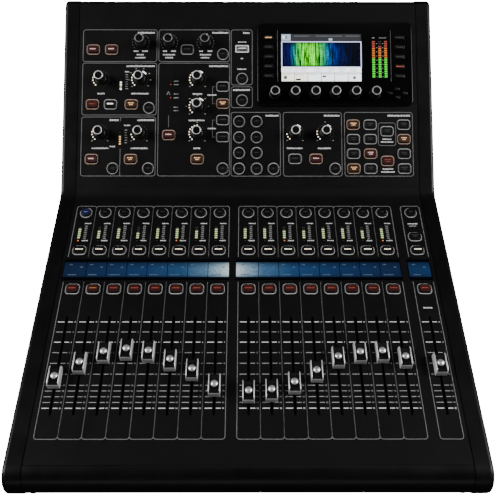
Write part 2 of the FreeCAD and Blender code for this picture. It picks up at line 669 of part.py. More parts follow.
# ------------------------------------------------------------------ light-bar meters
ma = new_body("strip_meters", True)
mm = (g["meter_from"] + g["meter_to"]) / 2
ml = g["meter_to"] - g["meter_from"]
for tag, x in (("one", bank1[0]), ("two", bank2[0])):
    sk = sketch(ma, "strip_meters_" + tag, "XY_Plane", -5.0, rrect(x + g["meter_x"], -mm, g["meter_width"], ml, 0.7))
    q = pad(ma, sk, "strip_meters_%s_pad" % tag, 5.2)
    doc.recompute()
    line_pattern(ma, [q], "strip_meters_%s_row" % tag, 8, "Dims.strip_pitch", g["strip_pitch"])
    doc.recompute()
ma.Placement = PL_LOW
mb = new_body("control_meters", True)
geo = []
for x, t, w, d in small_meters:
    geo += rrect(x, t, w, d, 0.7)
sk = sketch(mb, "control_meters_plan", "XY_Plane", -5.0, geo)
q = pad(mb, sk, "control_meters_pad", 5.2)
doc.recompute()
geo = []
for x, t in bars:
    geo += rrect(x, t, bar_w, bar_l, 0.5)
sk = sketch(mb, "display_meters_plan", "XY_Plane", -3.0, geo)
q = pad(mb, sk, "display_meters_pad", 3.0 + br + 0.1)
doc.recompute()
mb.Placement = PL_UP
group("light_bar_meters", [ma, mb])


# ------------------------------------------------------------------ rotary knobs with their shafts
def knob(label, x, t, kd):
    base = g["bezel_rise"] if kd == "disp" else 0.0
    b = new_body(label + "_grip")
    r, rs_, hgt, g0 = g["knob_dia"] / 2, g["knob_skirt_dia"] / 2, g["knob_high"], g["knob_gap"]
    bore = g["shaft_dia"] / 2 + 0.02
    pts = [(bore, g0), (rs_, g0), (rs_, g0 + 2.0), (r, g0 + 2.7), (r - 0.35, hgt - 0.9), (r - 1.1, hgt), (0, hgt), (0, hgt - 4.3),
           (bore, hgt - 4.3)]
    sk = sketch(b, label + "_profile", "XZ_Plane", 0, poly(pts))
    rv = b.newObject("PartDesign::Revolution", label + "_turned")
    rv.Profile = sk
    rv.ReferenceAxis = (sk, ["V_Axis"])
    rv.Angle = 360
    sk.Visibility = False
    sh = doc.addObject("Part::Cylinder", label + "_shaft")
    sh.setExpression("Radius", "Dims.shaft_dia / 2")
    drop = g["shaft_drop"] + base
    sh.Height = drop + hgt - 4.5
    sh.Placement = Pla(V(0, 0, -drop), Rot())
    group(label, [b, sh], PL_UP.multiply(Pla(V(x, t, base), Rot())))


for kn in knobs + display_knobs:
    knob(*kn)
doc.recompute()

# ------------------------------------------------------------------ circuit boards with the encoder bodies
bd_z = -g["board_drop"]
ub = new_body("control_board")
sk = sketch(ub, "control_board_plan", "XY_Plane", bd_z - g["board_thick"], box4(-214, 214, 20, 222))
p = pad(ub, sk, "control_board_pad", g["board_thick"], "Dims.board_thick")
doc.recompute()
geo = []
for nme, x, t, kd in knobs + display_knobs:
    geo += box4(x - 6.2, x + 6.2, t - 6.2, t + 6.2) + ring(x, t, g["bush_dia"] / 2)
sk = sketch(ub, "encoder_plan", "XY_Plane", bd_z, geo)
q = pad(ub, sk, "encoder_bodies", 7.0)
doc.recompute()
ub.Placement = PL_UP
lb = new_body("fader_board")
sk = sketch(lb, "fader_board_plan", "XY_Plane", bd_z - g["board_thick"], box4(-214, 214, -158, -20))
p = pad(lb, sk, "fader_board_pad", g["board_thick"], "Dims.board_thick")
doc.recompute()
lb.Placement = PL_LOW
mbd = doc.addObject("Part::Box", "main_board")
mbd.Length, mbd.Width, mbd.Height = 250.0, 150.0, 1.6
mbd.Placement = Pla(V(-55, 90, 24), Rot())
group("circuit_boards", [ub, lb, mbd])

ps = new_body("power_supply")
sk = sketch(ps, "supply_plan", "XY_Plane", 20, box4(-200, -80, 80, 250))
p = pad(ps, sk, "supply_case", 38)
doc.recompute()
# folded case, open towards the pan
sk = sketch(ps, "supply_inside_plan", "XY_Plane", 20, box4(-198.8, -81.2, 81.2, 248.8))
k = pocket(ps, sk, "supply_inside", 36.8, rev=True)
doc.recompute()
cuts.append(("power_supply", k, p.Shape.Volume))
node("power_supply", ps)

# ------------------------------------------------------------------ armrest nose
ar = new_body("front_armrest")
ncy, ncz = low_pt(g["nose_start"], -g["nose_radius"])
nr0 = g["nose_radius"]
ti = 3.0
a_top = al + pi / 2
a_bot = 1.5 * pi
o0 = (ncy + nr0 * cos(a_top), ncz + nr0 * sin(a_top))
i0 = (ncy + (nr0 - ti) * cos(a_top), ncz + (nr0 - ti) * sin(a_top))
ob = (ncy, ncz - nr0)
ib = (ncy, ncz - nr0 + ti)
lipb = 14.0
geo = [arc(ncy, ncz, nr0, a_top, a_bot), seg(ob, (ob[0] + lipb, ob[1])), seg((ob[0] + lipb, ob[1]), (ib[0] + lipb, ib[1])),
       seg((ib[0] + lipb, ib[1]), ib), arc(ncy, ncz, nr0 - ti, a_top, a_bot), seg(i0, o0)]
sk = sketch(ar, "armrest_section", "YZ_Plane", 0, geo)
p = pad(ar, sk, "armrest_pad", 2 * half_panel, "Dims.body_width - 2 * Dims.cheek_width - 2 * Dims.seam_gap", sym=True)
doc.recompute()
node("front_armrest", ar)

# ------------------------------------------------------------------ bottom pan
bp = new_body("bottom_pan")
bz0 = g["base_z"]
y0, y1 = ncy + lipb + 0.3, pyr - 2.6
sk = sketch(bp, "pan_plan", "XY_Plane", bz0, box4(-half_panel, half_panel, y0, y1))
p = pad(bp, sk, "pan_block", g["pan_lip"], "Dims.pan_lip")
doc.recompute()
pt = g["pan_thick"]
sk = sketch(bp, "pan_inside", "XY_Plane", bz0 + g["pan_lip"], box4(-half_panel + pt, half_panel - pt, y0 + pt, y1 - pt - 5))
k = pocket(bp, sk, "pan_hollow", g["pan_lip"] - pt, "Dims.pan_lip - Dims.pan_thick")
doc.recompute()
cuts.append(("bottom_pan", k, p.Shape.Volume))
# the rear lip follows the leaning rear panel
slope = tan(lean)
sk = sketch(bp, "pan_rear_side", "YZ_Plane", 0, poly([(y1 + 1, bz0 - 1), (y1 + 1, bz0 + 20), (y1 - 20 * slope - 0.0, bz0 + 20), (y1 + slope * 1.0, bz0 - 1)]))
k2 = pocket(bp, sk, "pan_rear_trim", 600, None, sym=True)
doc.recompute()
cuts.append(("bottom_pan", k2, k.Shape.Volume))
# pilot holes of the lower row of rear screws, square to the leaning rear panel
screw_x = [-205.0, -123.0, -41.0, 41.0, 123.0, 205.0]
low_v = 10.0
geo = []
for x in screw_x:
    geo += ring(x, 0.0, 1.56)
sk = sketch(bp, "pan_pilots", "XZ_Plane", 0, geo)
sk.AttachmentOffset = Pla(V(0, pzr + low_v * cos(lean), -(pyr - low_v * sin(lean))), Rot(V(1, 0, 0), LEAN_DEG))
k3 = pocket(bp, sk, "pan_pilot_cut", 18, None, sym=True)
doc.recompute()
cuts.append(("bottom_pan", k3, k2.Shape.Volume))
node("bottom_pan", bp)

# ------------------------------------------------------------------ rear connector panel
rp = new_body("rear_panel")
rear_top = rear_len - fl_len - 0.3
sk = sketch(rp, "rear_plan", "XY_Plane", -th, box4(-half_panel, half_panel, 0, rear_top))
p = pad(rp, sk, "rear_sheet", th, "Dims.sheet_thick")
doc.recompute()
sp = g["socket_pitch"]
rowx = [(-188.0 + i * sp) for i in range(8)]
rows = {"a": 150.0, "b": 112.0, "c": 66.0}
geo = []
for v in rows.values():
    for x in rowx:
        geo += ring(x, v, g["barrel_dia"] / 2 + 0.2)
data = [(98.0, 130.0, 18.0, 16.0), (124.0, 130.0, 18.0, 16.0), (98.0, 100.0, 14.0, 13.0)]
for x, v, w, d in data:
    geo += rrect(x, v, w + 0.4, d + 0.4, 0.6)
inl = (166.0, 60.0)                        # centre of the mains inlet unit
geo += rrect(inl[0], inl[1] - 9.0, 30.4, 22.4, 1.0)
geo += rrect(inl[0], inl[1] + 15.0, 24.4, 16.4, 1.0)
screw_v = [low_v, rear_top - 7.0]
for v in screw_v:
    for x in screw_x:
        geo += ring(x, v, 1.7)
sk = sketch(rp, "rear_holes", "XY_Plane", 0, geo)
k = pocket(rp, sk, "rear_cut", th + 1.0)
doc.recompute()
cuts.append(("rear_panel", k, p.Shape.Volume))
node("rear_panel", rp, PL_REAR)


def xlr_row(tag, v, male):
    b = new_body("xlr_row_" + tag, True)
    x = rowx[0]
    bd = g["barrel_dia"] / 2
    sk1 = sketch(b, "flange_" + tag, "XY_Plane", 0.0, rrect(x, v, g["flange_width"], g["flange_high"], 3.0))
    p1 = pad(b, sk1, "flange_pad_" + tag, 2.0)
    doc.recompute()
    sk2 = sketch(b, "barrel_" + tag, "XY_Plane", 0.0, ring(x, v, bd))
    p2 = pad(b, sk2, "barrel_pad_" + tag, 20.0, rev=True)
    doc.recompute()
    if male:
        sk3 = sketch(b, "recess_" + tag, "XY_Plane", 2.0, ring(x, v, 9.4))
        p3 = pocket(b, sk3, "recess_cut_" + tag, 15.0)
        doc.recompute()
        pins = []
        for dx, dy in ((-4.9, 1.5), (4.9, 1.5), (0.0, -4.9)):
            pins += ring(x + dx, v + dy, 1.2)
        sk4 = sketch(b, "pins_" + tag, "XY_Plane", -13.5, pins)
        p4 = pad(b, sk4, "pins_pad_" + tag, 13.5)
        doc.recompute()
        feats = [p1, p2, p3, p4]
    else:
        sk3 = sketch(b, "groove_" + tag, "XY_Plane", 2.0, ring(x, v, 9.4) + ring(x, v, 8.1))
        p3 = pocket(b, sk3, "groove_cut_" + tag, 12.0)
        doc.recompute()
        pins = []
        for dx, dy in ((-4.9, 1.5), (4.9, 1.5), (0.0, -4.9)):
            pins += ring(x + dx, v + dy, 1.4)
        sk4 = sketch(b, "pin_holes_" + tag, "XY_Plane", 2.0, pins)
        p4 = pocket(b, sk4, "pin_holes_cut_" + tag, 12.0)
        doc.recompute()
        feats = [p1, p2, p3, p4]
    cuts.append(("xlr_" + tag, p3, p2.Shape.Volume))
    line_pattern(b, feats, "xlr_line_" + tag, 8, "Dims.socket_pitch", sp)
    doc.recompute()
    return b


xs = [xlr_row("a", rows["a"], False), xlr_row("b", rows["b"], False), xlr_row("c", rows["c"], True)]
for b in xs:
    b.Placement = PL_REAR
group("xlr_sockets", xs)

dd = new_body("rear_data_sockets", True)
for i, (x, v, w, d) in enumerate(data):
    sk = sketch(dd, "data_body_%d" % i, "XY_Plane", -18.0, rrect(x, v, w, d, 0.5))
    p = pad(dd, sk, "data_pad_%d" % i, 19.0)
    doc.recompute()
    iw, idp = (12.0, 9.0) if i < 2 else (8.6, 8.0)
    sk = sketch(dd, "data_in_%d" % i, "XY_Plane", 1.0, rrect(x, v, iw, idp, 0.4))
    k = pocket(dd, sk, "data_cut_%d" % i, 13.0)
    doc.recompute()
    cuts.append(("data_sockets", k, p.Shape.Volume))
dd.Placement = PL_REAR
ua = new_body("panel_usb_socket")
sk = sketch(ua, "usb_body", "XY_Plane", -11.8, rrect(usb_x, usb_t, usb_w, usb_d, 0.5))
p = pad(ua, sk, "usb_pad", 12.2)
doc.recompute()
sk = sketch(ua, "usb_in", "XY_Plane", 0.4, rrect(usb_x, usb_t, 12.5, 5.1, 0.3))
k = pocket(ua, sk, "usb_cut", 10.8)
doc.recompute()
cuts.append(("data_sockets", k, p.Shape.Volume))
ua.Placement = PL_UP
group("data_sockets", [dd, ua])

mi = new_body("mains_inlet")
ix, iv = inl
sk = sketch(mi, "inlet_flange", "XY_Plane", 0.0, rrect(ix, iv, 36.0, 56.0, 3.0))
p1 = pad(mi, sk, "inlet_flange_pad", 2.0)
doc.recompute()
sk = sketch(mi, "inlet_body", "XY_Plane", 0.0, rrect(ix, iv - 9.0, 30.0, 22.0, 0.8) + rrect(ix, iv + 15.0, 24.0, 16.0, 0.8))
p2 = pad(mi, sk, "inlet_body_pad", 20.0, rev=True)
doc.recompute()
sk = sketch(mi, "inlet_recess", "XY_Plane", 2.0, rrect(ix, iv - 9.0, 24.6, 16.6, 2.0))
k1 = pocket(mi, sk, "inlet_recess_cut", 18.0)
doc.recompute()
cuts.append(("mains_inlet", k1, p2.Shape.Volume))
sk = sketch(mi, "inlet_blades", "XY_Plane", -17.0, box4(ix - 8, ix - 6, iv - 13.0, iv - 9.0) + box4(ix + 6, ix + 8, iv - 13.0, iv - 9.0)
            + box4(ix - 1, ix + 1, iv - 8.6, iv - 4.6))
p3 = pad(mi, sk, "inlet_blades_pad", 15.0)
doc.recompute()
sk = sketch(mi, "rocker_well", "XY_Plane", 2.0, box4(ix - 10.4, ix + 10.4, iv + 9.2, iv + 20.8))
k2 = pocket(mi, sk, "rocker_well_cut", 14.0)
doc.recompute()
cuts.append(("mains_inlet", k2, p3.Shape.Volume))
node("mains_inlet", mi, PL_REAR)

# rocker: tips about an axis along the panel's height, in the well of the inlet unit
rk = new_body("power_switch_rocker")
prof = [(-8.2, -2.6), (0.0, -4.2), (8.2, -2.6), (8.2, 1.6), (0.0, 2.4), (-8.2, 5.0)]
sk = sketch(rk, "rocker_side", "XZ_Plane", 0, poly(prof))
p = pad(rk, sk, "rocker_pad", 10.8, None, sym=True)
doc.recompute()
node("power_switch_rocker", rk, PL_REAR.multiply(Pla(V(ix, iv + 15.0, 0), Rot())))

# ------------------------------------------------------------------ screws and feet
sc = new_body("screw_row", True)
pts = [(0, -5.0), (1.5, -5.0), (1.5, 0.05), (3.2, 0.05), (3.2, 0.9), (2.2, 1.8), (0.9, 1.8), (0.9, 1.0), (0, 1.0)]
screws = []
sc_geo = poly(pts)
for j, v in enumerate(screw_v):
    for i, x in enumerate(screw_x):
        b = new_body("screw_%d_%d" % (j, i))
        sk = sketch(b, "screw_profile_%d_%d" % (j, i), "XZ_Plane", 0, sc_geo)
        rv = b.newObject("PartDesign::Revolution", "screw_turned_%d_%d" % (j, i))
        rv.Profile = sk
        rv.ReferenceAxis = (sk, ["V_Axis"])
        rv.Angle = 360
        b.Placement = PL_REAR.multiply(Pla(V(x, v, 0), Rot()))
        screws.append(b)
doc.removeObject(sc.Name)
doc.recompute()
group("panel_screws", screws)

feet = []
for i, (x, y) in enumerate(((-218.5, -291.5), (218.5, -291.5), (-218.5, 280.0), (218.5, 280.0))):
    c = doc.addObject("Part::Cone", "foot_%d" % (i + 1))
    c.setExpression("Radius2", "Dims.foot_dia / 2")
    c.Radius1 = 8.6
    c.setExpression("Height", "Dims.base_z")
    c.Placement = Pla(V(x, y, 0), Rot())
    feet.append(c)
group("rubber_feet", feet)

# ------------------------------------------------------------------ checks and export
doc.recompute()
bad = []
for o in doc.Objects:
    st = [s for s in o.State if s in ("Invalid", "Error")]
    if st:
        bad.append("%s: %s" % (o.Label, st))
for item in cuts:
    label, feat, before = item
    if not feat.Shape.Volume < before - 1e-6 and "row" not in feat.Name:
        bad.append("%s: cut %s removed nothing" % (label, feat.Name))
labels = [l for l, _ in nodes]
if len(set(labels)) != len(labels):
    bad.append("repeated node names")
lo, hi = [1e9] * 3, [-1e9] * 3
for label, o in nodes:
    s = o.Shape
    if s.isNull() or not s.isValid() or not s.Solids:
        bad.append("%s: shape not valid" % label)
        continue
    bb = s.BoundBox
    for i, (a, b_) in enumerate(((bb.XMin, bb.XMax), (bb.YMin, bb.YMax), (bb.ZMin, bb.ZMax))):
        lo[i], hi[i] = min(lo[i], a), max(hi[i], b_)
print("nodes: %d  box: %s .. %s" % (len(nodes), [round(v, 2) for v in lo], [round(v, 2) for v in hi]))
if bad:
    raise RuntimeError("; ".join(bad))
for label, o in nodes:
    o.Shape.exportStep(os.path.join("parts", label + ".step"))
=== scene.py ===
import bpy, math, random
from math import sin, cos, tan, pi, radians, sqrt
from mathutils import Matrix, Vector


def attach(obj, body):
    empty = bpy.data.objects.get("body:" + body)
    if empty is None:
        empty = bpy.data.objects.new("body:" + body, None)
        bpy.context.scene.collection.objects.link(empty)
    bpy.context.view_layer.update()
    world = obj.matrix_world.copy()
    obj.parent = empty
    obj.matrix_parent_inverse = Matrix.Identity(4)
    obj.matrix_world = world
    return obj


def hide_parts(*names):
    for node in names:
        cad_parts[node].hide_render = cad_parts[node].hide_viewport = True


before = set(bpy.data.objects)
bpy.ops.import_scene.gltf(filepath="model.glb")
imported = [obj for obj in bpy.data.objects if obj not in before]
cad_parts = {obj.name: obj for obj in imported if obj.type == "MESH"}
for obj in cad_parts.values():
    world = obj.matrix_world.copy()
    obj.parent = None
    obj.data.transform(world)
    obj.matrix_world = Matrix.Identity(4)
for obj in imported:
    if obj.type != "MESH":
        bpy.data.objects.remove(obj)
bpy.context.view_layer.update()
RNG = random.Random(7)

# ------------------------------------------------------------------ the frame's sizes (mm)
FOLD_Y, FOLD_Z = 53.74, 67.9
TILT_LOW, TILT_UP = 3.0, 33.387
LEAN = 10.22656
REAR_Y, REAR_Z = 308.14, 10.0


def mm(v):
    return v * 0.001


ML = Matrix.Translation((0, mm(FOLD_Y), mm(FOLD_Z))) @ Matrix.Rotation(radians(TILT_LOW), 4, "X") @ Matrix.Diagonal((0.001, 0.001, 0.001, 1))
MU = Matrix.Translation((0, mm(FOLD_Y), mm(FOLD_Z))) @ Matrix.Rotation(radians(TILT_UP), 4, "X") @ Matrix.Diagonal((0.001, 0.001, 0.001, 1))
_l = radians(LEAN)
MR = Matrix(((-0.001, 0, 0, 0), (0, -0.001 * sin(_l), 0.001 * cos(_l), mm(REAR_Y)), (0, 0.001 * cos(_l), 0.001 * sin(_l), mm(REAR_Z)), (0, 0, 0, 1)))
MW = Matrix.Diagonal((0.001, 0.001, 0.001, 1))


def at(M, x, y, z=0.0, turn=0.0):
    return M @ Matrix.Translation((x, y, z)) @ Matrix.Rotation(turn, 4, "Z")


# ------------------------------------------------------------------ materials
def _nodes(name):
    m = bpy.data.materials.new(name)
    m.use_nodes = True
    nt = m.node_tree
    nt.nodes.clear()
    out = nt.nodes.new("ShaderNodeOutputMaterial")
    b = nt.nodes.new("ShaderNodeBsdfPrincipled")
    nt.links.new(b.outputs[0], out.inputs[0])
    tc = nt.nodes.new("ShaderNodeTexCoord")
    return m, nt, b, tc


def noise(nt, tc, scale, detail=3.0, rough=0.55, stretch=None, kind="Object"):
    n = nt.nodes.new("ShaderNodeTexNoise")
    n.inputs["Scale"].default_value = scale
    n.inputs["Detail"].default_value = detail
    n.inputs["Roughness"].default_value = rough
    src = tc.outputs[kind]
    if stretch:
        mp = nt.nodes.new("ShaderNodeMapping")
        mp.inputs["Scale"].default_value = stretch
        nt.links.new(src, mp.inputs[0])
        src = mp.outputs[0]
    nt.links.new(src, n.inputs["Vector"])
    return n


def ramp(nt, src, stops, interp="LINEAR"):
    r = nt.nodes.new("ShaderNodeValToRGB")
    r.color_ramp.interpolation = interp
    els = r.color_ramp.elements
    while len(els) > 1:
        els.remove(els[-1])
    els[0].position = stops[0][0]
    els[0].color = (*stops[0][1], 1)
    for p, c in stops[1:]:
        e = els.new(p)
        e.color = (*c, 1)
    nt.links.new(src, r.inputs[0])
    return r


def maprange(nt, src, a, b, lo=0.25, hi=0.75):
    r = nt.nodes.new("ShaderNodeMapRange")
    r.inputs[1].default_value = lo
    r.inputs[2].default_value = hi
    r.inputs[3].default_value = a
    r.inputs[4].default_value = b
    nt.links.new(src, r.inputs[0])
    return r


def bump(nt, b, src, strength, dist):
    n = nt.nodes.new("ShaderNodeBump")
    n.inputs["Strength"].default_value = strength
    n.inputs["Distance"].default_value = dist
    nt.links.new(src, n.inputs["Height"])
    nt.links.new(n.outputs[0], b.inputs["Normal"])
    return n


def finish_mat(name, base, rough=(0.35, 0.5), metal=0.0, var=0.25, scale=900.0, bump_s=0.15, bump_d=0.0001, spec=0.5, coat=0.0,
               coat_rough=0.08, stretch=None, sheen=0.0, ior=None, wear=None):
    """A surface with grain in its colour, roughness and relief; wear lightens slow patches."""
    m, nt, b, tc = _nodes(name)
    n1 = noise(nt, tc, scale, 4.0, 0.6, stretch)
    n2 = noise(nt, tc, scale * 0.035, 3.0, 0.5)
    lo = tuple(max(0.0, c * (1 - var)) for c in base)
    hi = tuple(min(1.0, c * (1 + var)) for c in base)
    r = ramp(nt, n1.outputs[0], [(0.3, lo), (0.7, hi)])
    src = r.outputs[0]
    if wear:
        mx = nt.nodes.new("ShaderNodeMix")
        mx.data_type = "RGBA"
        wr = ramp(nt, n2.outputs[0], [(0.52, (0, 0, 0)), (0.75, (1, 1, 1))])
        nt.links.new(wr.outputs[0], mx.inputs["Factor"])
        nt.links.new(src, mx.inputs[6])
        mx.inputs[7].default_value = (*wear, 1)
        src = mx.outputs[2]
    nt.links.new(src, b.inputs["Base Color"])
    rr = maprange(nt, n2.outputs[0], rough[0], rough[1])
    nt.links.new(rr.outputs[0], b.inputs["Roughness"])
    b.inputs["Metallic"].default_value = metal
    b.inputs["Specular IOR Level"].default_value = spec
    if ior:
        b.inputs["IOR"].default_value = ior
    b.inputs["Coat Weight"].default_value = coat
    b.inputs["Coat Roughness"].default_value = coat_rough
    if sheen:
        b.inputs["Sheen Weight"].default_value = sheen
    if bump_s:
        bump(nt, b, n1.outputs[0], bump_s, bump_d)
    return m


def glow_mat(name, col, strength, base=(0.05, 0.05, 0.05), var=0.18, scale=500.0, rough=0.35):
    """A lit light-guide: colour held on the emission socket, grain in base colour and roughness."""
    m, nt, b, tc = _nodes(name)
    n1 = noise(nt, tc, scale, 3.0, 0.5)
    r = ramp(nt, n1.outputs[0], [(0.3, tuple(c * (1 - var) for c in base)), (0.7, tuple(min(1, c * (1 + var)) for c in base))])
    nt.links.new(r.outputs[0], b.inputs["Base Color"])
    rr = maprange(nt, n1.outputs[0], rough * 0.8, rough * 1.2)
    nt.links.new(rr.outputs[0], b.inputs["Roughness"])
    b.inputs["Emission Color"].default_value = (*col, 1)
    b.inputs["Emission Strength"].default_value = strength
    return m


M = {}
M["panel"] = finish_mat("panel_powder_coat", (0.0022, 0.0022, 0.0023), (0.42, 0.52), var=0.35, scale=1500, bump_s=0.22, bump_d=0.00006, spec=0.16)
M["cheek"] = finish_mat("cheek_satin_paint", (0.0020, 0.0020, 0.0021), (0.30, 0.40), var=0.3, scale=1300, bump_s=0.12, bump_d=0.00005, spec=0.22)
M["armrest"] = finish_mat("armrest_satin_paint", (0.0020, 0.0020, 0.0021), (0.30, 0.40), var=0.3, scale=1200, bump_s=0.1, bump_d=0.00005, spec=0.24)
M["pan"] = finish_mat("pan_zinc_black", (0.012, 0.012, 0.013), (0.4, 0.55), var=0.3, scale=900, bump_s=0.2, bump_d=0.00005, spec=0.35)
M["rear"] = finish_mat("rear_powder_coat", (0.010, 0.010, 0.0105), (0.42, 0.55), var=0.35, scale=1500, bump_s=0.25, bump_d=0.00006, spec=0.35)
M["bezel"] = finish_mat("bezel_gloss_black", (0.0018, 0.0018, 0.002), (0.12, 0.18), var=0.2, scale=300, bump_s=0.02, bump_d=0.00003, spec=0.25)
M["glass"] = finish_mat("window_dark_glass", (0.0012, 0.0016, 0.003), (0.08, 0.14), var=0.25, scale=200, bump_s=0.0, spec=0.2)
M["lens"] = finish_mat("meter_smoked_lens", (0.003, 0.0035, 0.003), (0.14, 0.22), var=0.3, scale=400, bump_s=0.02, bump_d=0.00003, spec=0.45)
M["key"] = finish_mat("key_black_satin", (0.0030, 0.0030, 0.0032), (0.34, 0.46), var=0.3, scale=1600, bump_s=0.1, bump_d=0.00004, spec=0.2)
M["collar"] = finish_mat("key_collar_light", (0.36, 0.36, 0.356), (0.4, 0.55), var=0.12, scale=1400, bump_s=0.08, bump_d=0.00004, spec=0.4)
# tinted copy of the light collar: its warm colour is a painted glow from the lit key inside it
M["collar_painted_glow"] = finish_mat("key_collar_painted_glow", (0.42, 0.28, 0.21), (0.4, 0.55), var=0.12, scale=1400, bump_s=0.08, bump_d=0.00004, spec=0.4)
M["knob"] = finish_mat("knob_soft_black", (0.0055, 0.0055, 0.0058), (0.36, 0.50), var=0.3, scale=1700, bump_s=0.2, bump_d=0.00005, spec=0.4)
M["knob_top"] = finish_mat("knob_top_black", (0.0022, 0.0022, 0.0025), (0.26, 0.38), var=0.3, scale=900, bump_s=0.05, bump_d=0.00003, spec=0.25)
M["silver"] = finish_mat("brushed_silver", (0.80, 0.80, 0.79), (0.36, 0.48), metal=0.55, var=0.10, scale=900, bump_s=0.12, bump_d=0.00004, stretch=(1, 0.08, 1))
M["silver_matt"] = finish_mat("satin_silver_paint", (0.42, 0.42, 0.418), (0.40, 0.52), metal=0.45, var=0.14, scale=1100, bump_s=0.15, bump_d=0.00004)
M["rim_dim"] = finish_mat("rim_grey", (0.20, 0.20, 0.20), (0.40, 0.52), metal=0.4, var=0.12, scale=900, bump_s=0.1, bump_d=0.00004)
M["chrome"] = finish_mat("polished_dome", (0.80, 0.80, 0.79), (0.30, 0.38), metal=0.8, var=0.05, scale=500, bump_s=0.02, bump_d=0.00002)
M["steel"] = finish_mat("plated_steel", (0.55, 0.55, 0.56), (0.3, 0.45), metal=1.0, var=0.12, scale=700, bump_s=0.1, bump_d=0.00004, wear=(0.42, 0.42, 0.44))
M["mech"] = finish_mat("mechanism_black_zinc", (0.006, 0.006, 0.0065), (0.55, 0.7), metal=0.0, var=0.25, scale=700, bump_s=0.1, bump_d=0.00004, spec=0.2)
M["brass"] = finish_mat("contact_gold", (0.80, 0.62, 0.30), (0.22, 0.35), metal=1.0, var=0.08, scale=900, bump_s=0.05, bump_d=0.00003)
M["cap"] = finish_mat("fader_cap_black", (0.0026, 0.0026, 0.0028), (0.30, 0.42), var=0.3, scale=1500, bump_s=0.12, bump_d=0.00004, spec=0.22)
M["socket"] = finish_mat("socket_black_shell", (0.016, 0.016, 0.017), (0.34, 0.48), var=0.3, scale=1100, bump_s=0.15, bump_d=0.00005, spec=0.5)
M["socket_insert"] = finish_mat("socket_insert", (0.022, 0.023, 0.026), (0.4, 0.5), var=0.2, scale=1200, bump_s=0.1, bump_d=0.00003)
M["rocker"] = finish_mat("rocker_black", (0.014, 0.014, 0.014), (0.25, 0.35), var=0.25, scale=1200, bump_s=0.08, bump_d=0.00003)
M["rubber"] = finish_mat("foot_rubber", (0.018, 0.018, 0.018), (0.7, 0.85), var=0.3, scale=800, bump_s=0.4, bump_d=0.0001, spec=0.3)
M["board"] = finish_mat("board_green", (0.02, 0.10, 0.05), (0.35, 0.5), var=0.3, scale=250, bump_s=0.1, bump_d=0.00005)
M["ink_dim"] = finish_mat("printed_line", (0.16, 0.162, 0.16), (0.5, 0.65), var=0.25, scale=1500, bump_s=0.05, bump_d=0.00002, spec=0.3)
M["ink"] = finish_mat("printed_scale", (0.32, 0.32, 0.318), (0.5, 0.65), var=0.22, scale=1500, bump_s=0.05, bump_d=0.00002, spec=0.3)
M["ink_white"] = finish_mat("printed_white", (0.70, 0.70, 0.69), (0.5, 0.65), var=0.12, scale=1500, bump_s=0.05, bump_d=0.00002, spec=0.3)
M["legend_off"] = finish_mat("legend_unlit", (0.045, 0.045, 0.045), (0.45, 0.6), var=0.25, scale=1500, bump_s=0.04, bump_d=0.00002, spec=0.3)
M["lit_white"] = glow_mat("lit_white", (1.0, 0.97, 0.9), 2.2, (0.3, 0.3, 0.28))
M["lit_cream"] = glow_mat("lit_cream", (1.0, 0.86, 0.66), 2.0, (0.25, 0.2, 0.15))
M["lit_orange"] = glow_mat("lit_orange", (1.0, 0.58, 0.28), 1.3, (0.2, 0.1, 0.05))
M["lit_red"] = glow_mat("lit_red", (1.0, 0.16, 0.11), 0.42, (0.2, 0.03, 0.02))
M["legend_red"] = glow_mat("legend_red", (1.0, 0.20, 0.12), 0.14, (0.2, 0.04, 0.02))
M["legend_orange"] = glow_mat("legend_orange", (1.0, 0.45, 0.15), 0.22, (0.2, 0.08, 0.02))
M["lit_pink"] = glow_mat("lit_pink", (1.0, 0.68, 0.66), 0.9, (0.25, 0.12, 0.12))
M["lit_green"] = glow_mat("lit_green", (0.03, 1.0, 0.02), 1.4, (0.02, 0.12, 0.02))
M["lit_lime"] = glow_mat("lit_lime", (0.72, 0.86, 0.46), 0.8, (0.1, 0.12, 0.04))
M["lit_amber"] = glow_mat("lit_amber", (1.0, 0.22, 0.02), 1.0, (0.14, 0.07, 0.02))
M["lit_blue"] = glow_mat("lit_blue", (0.36, 0.42, 1.0), 0.35, (0.05, 0.06, 0.16))
M["dim_red"] = glow_mat("dim_red_key", (0.42, 0.012, 0.016), 0.014, (0.03, 0.004, 0.004))
M["dim_orange"] = glow_mat("dim_orange_key", (0.45, 0.12, 0.03), 0.018, (0.03, 0.012, 0.004))
M["dim_blue"] = glow_mat("dim_blue_key", (0.05, 0.06, 0.4), 0.05, (0.005, 0.006, 0.03))
M["led_off"] = finish_mat("led_unlit", (0.03, 0.03, 0.026), (0.2, 0.3), var=0.2, scale=700, bump_s=0.02, bump_d=0.00002)

